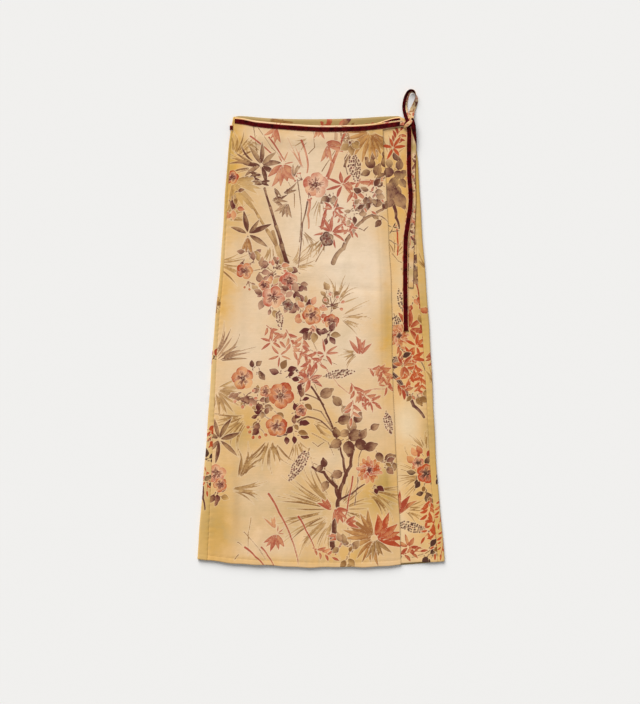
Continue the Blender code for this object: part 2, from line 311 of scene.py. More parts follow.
def overHeight(x, y):
    # layer height, plus loft, creases and slow waves away from the edges, less the seam and hem grooves
    fromSeam, fromWrap = x - leftSeam(y), wrapEdge(y) - x
    fromHem, fromWaist = y - hem(x), overWaist(x) - y
    free = smooth(0, 26, fromSeam) * smooth(0, 40, fromWaist - 8)
    edge = 0.25 + 0.75 * smooth(0, 22, fromWrap)
    own = overSetup
    z = layerTop(x, y, 1) + free * edge * relief(x, y, overCreases, own)
    z = z + stitched(y, fromSeam, *own["seam"]) + stitched(x, fromHem - own["hemTurn"], *own["hem"])
    z = z + furrow(fromHem, *own["hemRoll"]) - furrow(fromWrap - own["wrapTurn"], *own["wrap"])
    return z + puckered(y * 0.6, fromWrap - 3, *own["wrapPucker"]) - furrow(fromWaist, *own["waist"])


def overSurface(s, t):
    # across from the left side seam (s=0) to the wrap edge, up from the hem (t=0) to the waist
    def xAt(y):
        left = leftSeam(y) + 0.3
        return left + (wrapEdge(y) - left) * s

    x, y = settled(xAt, hem, overWaist, t)
    z = overHeight(x, y)
    fromHem, fromWrap = y - hem(x), wrapEdge(y) - x
    y = y + (0.8 * np.sin(x / 21) + 0.5 * np.sin(x / 8.3 + 1)) * np.exp(-fromHem / 12)
    x = x + (0.5 * np.sin(y / 37) + 0.35 * np.sin(y / 15 + 1)) * np.exp(-fromWrap / 12)
    return np.stack((x, y, z), -1)


underSetup = {
    "columns": 136, "rows": 456, "fromFold": 16.0,
    "loft": 0.6, "crease": 1.3, "wave": 0.3,
    "seam": ((0.5, 1.8), (0.25, 5.0)), "hem": (0.35, 1.6), "hemPucker": (0.2, 6.0), "waist": (0.4, 1.2),
    "hidden": (0.35, 0.62),  # this share of the columns covers this share of the width, under the over front
}


def underHeight(x, y):
    # layer height, plus creases and waves where it shows, less the seam and hem grooves
    fromSeam, fromHem, fromWaist = rightSeam(y) - x, y - underHem(x), underWaist(x) - y
    free = smooth(0, 20, fromSeam) * smooth(0, 30, fromWaist - 8) * smooth(0, 20, x - wrapEdge(y) + 6)
    fromTurn, own = fromHem - overSetup["hemTurn"], underSetup
    z = layerTop(x, y, 0) + free * relief(x, y, underCreases, own)
    z = z + stitched(y, fromSeam, *own["seam"]) - furrow(fromTurn, *own["hem"])
    z = z + puckered(x, fromTurn, *own["hemPucker"]) * smooth(-4, 8, x - wrapEdge(y))
    return z - furrow(fromWaist, *own["waist"])


def underSurface(s, t):
    # from near the left fold to the right side seam, with most columns where it shows
    few, wide = underSetup["hidden"]
    s = np.where(s < few, s / few * wide, wide + (s - few) / (1 - few) * (1 - wide))

    def xAt(y):
        left, right = leftSeam(y) + underSetup["fromFold"], rightSeam(y) - 0.3
        return left + (right - left) * s

    x, y = settled(xAt, underHem, underWaist, t)
    return np.stack((x, y, underHeight(x, y)), -1)


backSetup = {
    "strip": 12, "fold": 12, "base": 156, "rows": 400,  # columns of a strip, of a fold and of the underside
    "seam": ((0.5, 1.8), (0.28, 5.0)), "hem": (0.4, 1.6), "waver": 0.35,
}


def backSurface(s, t):
    # right side seam (s=0), over the right fold, along the underside, over the left fold to its seam
    strip, fold, base = backSetup["strip"], backSetup["fold"], backSetup["base"]
    step = s * (2 * strip + 2 * fold + base)
    fromEnd = 2 * strip + 2 * fold + base - step
    side = np.where(step < strip + fold + base / 2, 1.0, -1.0)
    near = np.minimum(step, fromEnd)  # steps from the nearer seam
    angle = np.radians(90 - 180 * np.clip((near - strip) / fold, 0, 1))
    depth = cut["foldDepth"]

    def shape(y):
        foldX = np.where(side > 0, rightFold(y), leftFold(y))
        seamX = np.where(side > 0, rightSeam(y), leftSeam(y))
        middle = foldX - side * depth
        top = np.where(side > 0, layerTop(middle, y, 0), layerTop(middle, y, 1))
        bottom = cut["tieLift"] * waistShare(y)
        turnX = middle + side * depth * np.cos(angle)
        turnZ = (top + bottom) / 2 + (top - bottom) / 2 * np.sin(angle)
        stripX = seamX + (middle - seamX) * np.clip(near / strip, 0, 1)
        stripZ = np.where(side > 0, layerTop(stripX, y, 0), layerTop(stripX, y, 1))
        share = np.clip((step - strip - fold) / base, 0, 1)
        rightIn, leftIn = rightFold(y) - depth, leftFold(y) + depth
        onFold, belowX = near < strip + fold, rightIn + (leftIn - rightIn) * share
        return (np.where(near < strip, stripX, np.where(onFold, turnX, belowX)),
                np.where(near < strip, stripZ, np.where(onFold, turnZ, bottom)))

    x, y = settled(lambda y: shape(y)[0], hem, backWaist, t)
    z = shape(y)[1]
    onStrip = 1 - smooth(strip - 1, strip + 3, near)
    fromSeam = np.abs(np.where(side > 0, rightSeam(y), leftSeam(y)) - x)
    fromHem = y - hem(x)
    z = z + onStrip * stitched(y + 3, fromSeam, *backSetup["seam"])
    z = z - onStrip * furrow(fromHem - overSetup["hemTurn"], *backSetup["hem"])
    x = x + side * backSetup["waver"] * np.sin(y / 17 + side) * np.clip(1 - onStrip, 0, 1) * np.cos(angle)
    onBase = smooth(strip + fold, strip + fold + 8, near)
    z = z + onBase * np.maximum(creased(x, y, backCreases), 0) * (1 - waistShare(y))
    return np.stack((x, y, z), -1)


def normalsOf(grid):
    # unit normals of a grid of points, across its rows and columns
    across, up = np.gradient(grid, axis=1), np.gradient(grid, axis=0)
    normal = np.cross(across, up)
    return normal / np.maximum(np.linalg.norm(normal, axis=-1, keepdims=True), 1e-9)


def ringOf(rows, columns):
    # indices round the edge of a grid, from its first corner, with the inside on the left
    index = np.arange((rows + 1) * (columns + 1)).reshape(rows + 1, columns + 1)
    return np.concatenate((index[0, :-1], index[:-1, -1], index[-1, :0:-1], index[:0:-1, 0]))


def quadsOf(rows, columns):
    # the quads of a grid, row by row
    index = np.arange((rows + 1) * (columns + 1)).reshape(rows + 1, columns + 1)
    return np.stack((index[:-1, :-1], index[:-1, 1:], index[1:, 1:], index[1:, :-1]), -1).reshape(-1, 4)


def tubeOf(stations, around):
    # quads between closed rings of points, and the fans that close both ends on two last points
    index = np.arange(stations * around).reshape(stations, around)
    after = np.roll(index, -1, 1)
    quads = np.stack((index[:-1], after[:-1], after[1:], index[1:]), -1).reshape(-1, 4)
    first = np.stack((np.full(around, index.size), after[0], index[0]), -1)
    last = np.stack((np.full(around, index.size + 1), index[-1], after[-1]), -1)
    return quads, np.concatenate((first, last))


def meshFrom(name, points, quads, triangles=None, slots=None):
    # a smooth mesh object from whole arrays of points (millimetres), quads and triangles
    triangles = np.zeros((0, 3), int) if triangles is None else triangles
    mesh = bpy.data.meshes.new(name)
    mesh.vertices.add(len(points))
    mesh.vertices.foreach_set("co", (points * mm).astype(np.float32).ravel())
    corners = np.concatenate((quads.ravel(), triangles.ravel())).astype(np.int32)
    mesh.loops.add(len(corners))
    mesh.loops.foreach_set("vertex_index", corners)
    mesh.polygons.add(len(quads) + len(triangles))
    starts = np.concatenate((np.arange(len(quads)) * 4, len(quads) * 4 + np.arange(len(triangles)) * 3))
    mesh.polygons.foreach_set("loop_start", starts.astype(np.int32))
    if slots is not None:
        mesh.polygons.foreach_set("material_index", slots.astype(np.int32))
    mesh.polygons.foreach_set("use_smooth", np.ones(len(mesh.polygons), bool))
    mesh.update(calc_edges=True)
    piece = bpy.data.objects.new(name, mesh)
    bpy.context.scene.collection.objects.link(piece)
    return piece


shellSetup = {"coarse": 4, "inset": 0.012, "rimDepth": 0.5, "rimOut": 0.4}


def clothShell(name, surface, columns, rows, wall):
    # a closed wall of cloth: a fine outer face, a rounded rim, and a coarser inner face a little way in
    coarse, inset = shellSetup["coarse"], shellSetup["inset"]
    s, t = np.meshgrid(np.linspace(0, 1, columns + 1), np.linspace(0, 1, rows + 1))
    outer = surface(s, t)
    normal = normalsOf(outer)
    ring = ringOf(rows, columns)
    edge, edgeNormal = outer.reshape(-1, 3)[ring], normal.reshape(-1, 3)[ring]
    along = np.roll(edge, -1, 0) - np.roll(edge, 1, 0)
    outward = np.cross(along, edgeNormal)
    outward /= np.maximum(np.linalg.norm(outward, axis=1, keepdims=True), 1e-9)
    middle = edge - edgeNormal * wall * shellSetup["rimDepth"] + outward * wall * shellSetup["rimOut"]
    inner = edge - edgeNormal * wall
    cs, ct = np.meshgrid(np.linspace(inset, 1 - inset, columns // coarse + 1),
                         np.linspace(inset / 2, 1 - inset / 2, rows // coarse + 1))
    lining = surface(cs, ct)
    lining = lining - normalsOf(lining) * wall
    count, long = outer.size // 3, len(ring)
    points = np.concatenate((outer.reshape(-1, 3), middle, inner, lining.reshape(-1, 3)))
    k = np.arange(long)
    after = (k + 1) % long
    midRing, inRing, linStart = count + k, count + long + k, count + 2 * long
    rim = np.stack((ring[after], ring[k], midRing[k], midRing[after]), -1)
    turn = np.stack((midRing[after], midRing[k], inRing[k], inRing[after]), -1)
    lin = linStart + ringOf(rows // coarse, columns // coarse)
    apex = ((k + coarse // 2) // coarse) % len(lin)
    fanned = np.stack((inRing[after], inRing[k], lin[apex]), -1)
    q = np.arange(len(lin))
    filler = np.stack((inRing[(q * coarse + coarse // 2) % long], lin[q], lin[(q + 1) % len(lin)]), -1)
    back = quadsOf(rows // coarse, columns // coarse)[:, ::-1] + linStart
    front = quadsOf(rows, columns)
    quads = np.concatenate((front, rim, turn, back))
    triangles = np.concatenate((fanned, filler))
    slots = np.concatenate((np.zeros(len(front) + len(rim), int), np.ones(len(turn) + len(back), int),
                            np.ones(len(triangles), int)))
    return meshFrom(name, points, quads, triangles, slots)


overFront = clothShell("overFront", overSurface, overSetup["columns"], overSetup["rows"], cut["wall"])
underFront = clothShell("underFront", underSurface, underSetup["columns"], underSetup["rows"], cut["wall"])
backColumns = 2 * backSetup["strip"] + 2 * backSetup["fold"] + backSetup["base"]
backPanel = clothShell("backPanel", backSurface, backColumns, backSetup["rows"], cut["wall"])
print("panels made", [len(panel.data.polygons) for panel in (overFront, underFront, backPanel)])

inkNames = ("khaki", "gold", "mauve", "coral", "orange", "pink", "plum")
khaki, gold, mauve, coral, orange, pink, plum = inkNames
outside = -8.0  # distance given to cloth that an ink doesn't reach
bareLine = 0.55  # bare cloth kept round a leaf or petal
finest = 2.1  # the thinnest line that the cloth's grid can carry

strokeShapes = {  # half width along a stroke, from 0 at its start to 1 at its end
    "leaf": lambda a: np.sin(np.pi * a**0.82) ** 1.1,
    "petal": lambda a: np.abs(np.sin(np.pi * a**1.5)) ** 0.62,
    "blade": lambda a: np.sin(np.pi * a**0.8) ** 0.9,
    "round": lambda a: np.sqrt(np.clip(1 - (2 * a - 1) ** 2, 0, 1)),
    "dot": lambda a: np.sqrt(np.clip(1 - (2 * a - 1) ** 2, 0, 1)),
    "cane": lambda a: 0.82 + 0.18 * (2 * a - 1) ** 4,
    "line": lambda a: 1 - 0.25 * a,
}


def newCanvas(x, y):
    # distances (inside positive), depths and second tones of each ink, at the points of one panel
    bare = np.array((outside, 0.5, 0.0))
    return {"x": x.ravel(), "y": y.ravel(), "ink": {name: np.tile(bare, (x.size, 1)) for name in inkNames}}


def away(point, degrees, length):
    turn = math.radians(degrees)
    return (point[0] + length * math.cos(turn), point[1] + length * math.sin(turn))


def stroke(canvas, ink, start, end, width, shape="leaf", bow=0.0, depth=0.6, fade=0.25):
    # a brush stroke: its half width along a bowed line, less the distance from that line;
    # leaves and petals cover every ink below them and keep a thin bare line round them
    width = max(width, finest)
    dx, dy = end[0] - start[0], end[1] - start[1]
    length = math.hypot(dx, dy)
    ux, uy = dx / length, dy / length
    reach = length / 2 + width / 2 + abs(bow) + 3
    near = np.nonzero((np.abs(canvas["x"] - start[0] - dx / 2) < reach)
                      & (np.abs(canvas["y"] - start[1] - dy / 2) < reach))[0]
    if not len(near):
        return
    px, py = canvas["x"][near] - start[0], canvas["y"][near] - start[1]
    along = (px * ux + py * uy) / length
    held = np.clip(along, 0, 1)
    across = py * ux - px * uy - bow * 4 * held * (1 - held)
    beyond = np.maximum(np.maximum(-along, along - 1), 0) * length
    half = width / 2 * strokeShapes[shape](held)
    distance = np.where(beyond > 0, half - np.hypot(beyond, across), half - np.abs(across))
    if shape in ("leaf", "petal", "round"):
        for other in canvas["ink"].values():
            other[near, 0] = np.minimum(other[near, 0], -(distance + bareLine))
    field = canvas["ink"][ink]
    wins = distance > field[near, 0]
    spots = near[wins]
    lean = np.clip(across[wins] / max(half.max(), 1), -1, 1)  # darker to one side of the stroke
    field[spots, 0] = distance[wins]
    field[spots, 1] = depth + fade * (0.5 - held[wins]) + 0.25 * lean
    field[spots, 2] = (0.37 * start[0] + 0.61 * start[1]) % 1  # each stroke's own share of the second tone


def ray(canvas, ink, at, degrees, first, last, *brush):
    # a stroke that points away from a spot, from first to last millimetres out
    stroke(canvas, ink, away(at, degrees, first), away(at, degrees, last), *brush)


def fan(canvas, rng, at, size, turn, ink=khaki, count=9, spread=140, width=0.1, depth=0.45, shape="blade",
        start=0.1, bow=0.07):
    # blades from one point, such as a tuft of grass, with hair-fine ones between them
    thin = shape == "blade"
    if thin:
        spread, size, width, depth = min(spread * 1.3, 300), size * 1.15, width * 0.55, depth * 0.7
    step = spread / count
    for i in range(count):
        share = (i + 0.5) / count - 0.5
        angle = turn + spread * share + rng.normal(0, step * 0.13)
        long = size * rng.uniform(0.78, 1.12)
        curve = long * (rng.normal(0, bow * 0.5) - 2 * bow * share)
        first = size * (rng.uniform(0.1, 0.3) if thin else start)
        ray(canvas, ink, at, angle, first, long, size * width * rng.uniform(0.8, 1.2), shape, curve,
            depth + rng.normal(0, 0.14))
        if thin and i % 3 == 1:
            ray(canvas, ink, at, angle + step / 2, size * 0.3, long * 1.15, finest, "line", curve * 1.3, 0)


def palm(canvas, rng, at, size, turn, ink=khaki, count=9, spread=140, width=0.1, depth=0.45):
    # broad pointed leaves from one point
    fan(canvas, rng, at, size, turn, ink, count, spread, width, depth, "leaf")


def star(canvas, rng, at, size, turn, ink=mauve, count=8, width=0.18, depth=0.6):
    # leaves all round a point
    fan(canvas, rng, at, size, turn, ink, count, 360 - 180 / count, width, depth, "leaf", 0.06, 0.05)


def droop(canvas, rng, at, size, turn, count=5, spread=120, depth=0.55):
    # a spray of broad leaves hanging from a twig
    fan(canvas, rng, at, size, turn, coral, count, spread, 0.25, depth, "leaf", 0.04)
    fan(canvas, rng, at, size * 0.6, turn + 150, coral, 3, 150, 0.1, depth - 0.2, "leaf")


def sprig(canvas, rng, at, size, turn, depth=0.6, leaf=0.42, pairs=3, ink=coral):
    # a fine bowed twig with narrow leaves in pairs and one at its tip; leaf 1 is 38 mm long
    ray(canvas, ink, at, turn, 0, size, finest, "line", size * 0.06, depth)
    for i in range(pairs):
        for side in (-1, 1):
            root = away(at, turn, size * (0.12 + 0.8 * (i + 0.2 * side) / pairs))
            angle = turn + side * rng.uniform(36, 64)
            long = 38 * leaf * rng.uniform(0.8, 1.15)
            ray(canvas, ink, root, angle, 1.5, long, long * 0.29, "leaf", -side * long * 0.09,
                depth + rng.normal(0, 0.14))
    ray(canvas, ink, at, turn, size - 1, size + 34 * leaf, 10.4 * leaf, "leaf", 0, depth)


def flower(canvas, rng, at, size, turn, ink=pink, depth=0.5):
    # an open blossom: five overlapping petals of uneven tone, streaked, round a pale eye of dark stamens
    for i in (0, 2, 4, 1, 3):
        angle = turn + 72 * i + rng.normal(0, 5)
        reach = size * rng.uniform(0.88, 1.04)
        ray(canvas, ink, at, angle, size * 0.04, reach, size * 0.92, "petal", 0,
            depth + 0.12 + rng.normal(0, 0.2), -0.6)
        for side in (-16, 1, 15):
            ray(canvas, plum, at, angle + side, size * 0.3, reach * rng.uniform(0.5, 0.74), finest, "line", 0,
                0.1)
    ray(canvas, mauve, at, 0, -size * 0.2, size * 0.2, size * 0.36, "round", 0, 0.1)
    for i in range(12):
        angle = turn + 30 * i + rng.normal(0, 8)
        long = size * rng.uniform(0.12, 0.44)
        ray(canvas, plum, at, angle, size * 0.08, long, finest, "line", 0, 0.4)
        tip, tone = (plum, 0.9) if i % 3 else (pink, 0)
        ray(canvas, tip, away(at, angle, long), 0, -0.9, 0.9, finest, "line", 0, tone)


def shaggy(canvas, rng, at, size, turn, ink=orange, depth=0.55):
    # a many-petalled flower head: three rings of narrow petals round a dark eye
    for ring, scale in enumerate((1.0, 0.74, 0.48)):
        for i in range(13):
            angle = turn + 360 * (i + ring * 0.5) / 13 + rng.normal(0, 4)
            ray(canvas, ink if (i + ring) % 3 else pink, at, angle, size * 0.08,
                size * scale * rng.uniform(0.86, 1.06), size * 0.3, "petal", size * rng.normal(0, 0.03),
                depth + 0.2 * ring - 0.16 * (i % 2), 0.6)
    for i in range(11):
        ray(canvas, plum, at, 33 * i, size * 0.02, size * rng.uniform(0.16, 0.3), finest, "line", 0, 0.7)


def leaves(canvas, rng, at, size, turn, ink=plum, count=5, spread=200, depth=0.6, start=0.5):
    # small pointed leaves strewn round a blossom on short twigs, every fourth plum one in khaki
    for i in range(count):
        angle = turn + spread * ((i + 0.5) / count - 0.5) + rng.normal(0, spread / count * 0.3)
        root = away(at, angle, size * (start + (0.95 - start) * rng.uniform(0.0, 0.7)))
        lean = angle + rng.normal(0, 34)
        reach = 21 * rng.uniform(0.62, 1.05)
        ray(canvas, plum, root, lean, -5, 0, finest, "line", 0.5, 0.4)
        ray(canvas, khaki if ink == plum and i % 4 == 3 else ink, root, lean, 0, reach,
            reach * rng.uniform(0.52, 0.7), "leaf", reach * 0.06, depth + 0.05 + rng.normal(0, 0.22), 0.5)


def roundLeaf(canvas, rng, at, size, turn):
    # a round leaf with a pointed tip and a pale vein
    size, shade = size * 1.12, 0.54 + rng.normal(0, 0.13)
    ray(canvas, mauve, at, turn, -size * 0.9, size * 0.9, size * 1.53, "round", 0, shade, 0.6)
    ray(canvas, mauve, at, turn, size * 0.45, size * 1.35, size * 0.63, "blade", 0, shade)
    ray(canvas, khaki, at, turn, -size * 1.35, size * 0.81, finest, "line", 0, 0.35)


def cane(canvas, rng, start, end, width, ink, joints, depth):
    # a jointed bamboo cane that narrows towards its end
    dx, dy = (end[0] - start[0]) / joints, (end[1] - start[1]) / joints
    part = 1 - 1.6 / math.hypot(dx, dy)
    for i in range(joints):
        x, y = start[0] + dx * i, start[1] + dy * i
        stroke(canvas, ink, (x, y), (x + dx * part, y + dy * part), width * (1 - 0.6 * i / joints), "cane",
               rng.normal(0, 0.6), depth + rng.normal(0, 0.15), 0.5)


def branch(canvas, points, width, ink, depth):
    # a bough through a few points, narrowing as it goes
    taper = 0.55 if width > 4.8 else 0.3
    for i, ((x0, y0), (x1, y1)) in enumerate(zip(points[:-1], points[1:])):
        wide = width * (1 - taper * i / (len(points) - 1))
        end = (x1 + (x1 - x0) * 0.04, y1 + (y1 - y0) * 0.04)  # runs a little into the next piece
        stroke(canvas, ink, (x0, y0), end, wide, "line", wide * 0.3, depth)


def berries(canvas, rng, at, size, turn, slim=0.42, depth=0.7, ink=plum):
    # a hanging bunch of small berries in loose rows, each pale with a dark eye, a few of them coral
    ray(canvas, khaki, at, turn, -size * 0.6, size * 0.5, finest, "line", size * 0.05, 0.5)
    rows = int(size / 4)
    for row in range(rows):
        a = (row + 0.5) / rows - 0.5
        half = slim * math.cos(a * 2.4) * (1.05 - 0.5 * a) / 2
        across = max(int(size * half * 2 / 4.1), 1)
        for column in range(across):
            b = half * (2 * (column + 0.5) / across - 1) + rng.normal(0, 0.6 / size)
            lift = a + rng.normal(0, 0.7 / size)
            spot = away(away(at, turn, size * lift), turn + 90, size * b)
            ray(canvas, coral if rng.uniform() < 0.12 else mauve, spot, 0, -2, 2, 4.0, "dot", 0, 0.2)
            ray(canvas, ink, spot, 90, -1.4, 1.4, 2.9, "dot", 0, depth + 0.2)


def buds(canvas, rng, at, size, turn, ink=pink, count=4, spread=120):
    # buds on short twigs
    for i in range(count):
        angle = turn + spread * ((i + 0.5) / count - 0.5)
        tip = away(at, angle, size * rng.uniform(0.7, 1.0))
        stroke(canvas, plum, at, tip, finest, "line", 1.0, 0.35)
        ray(canvas, ink, tip, angle, -size * 0.12, size * 0.26, size * 0.3, "petal", 0, 0.6)


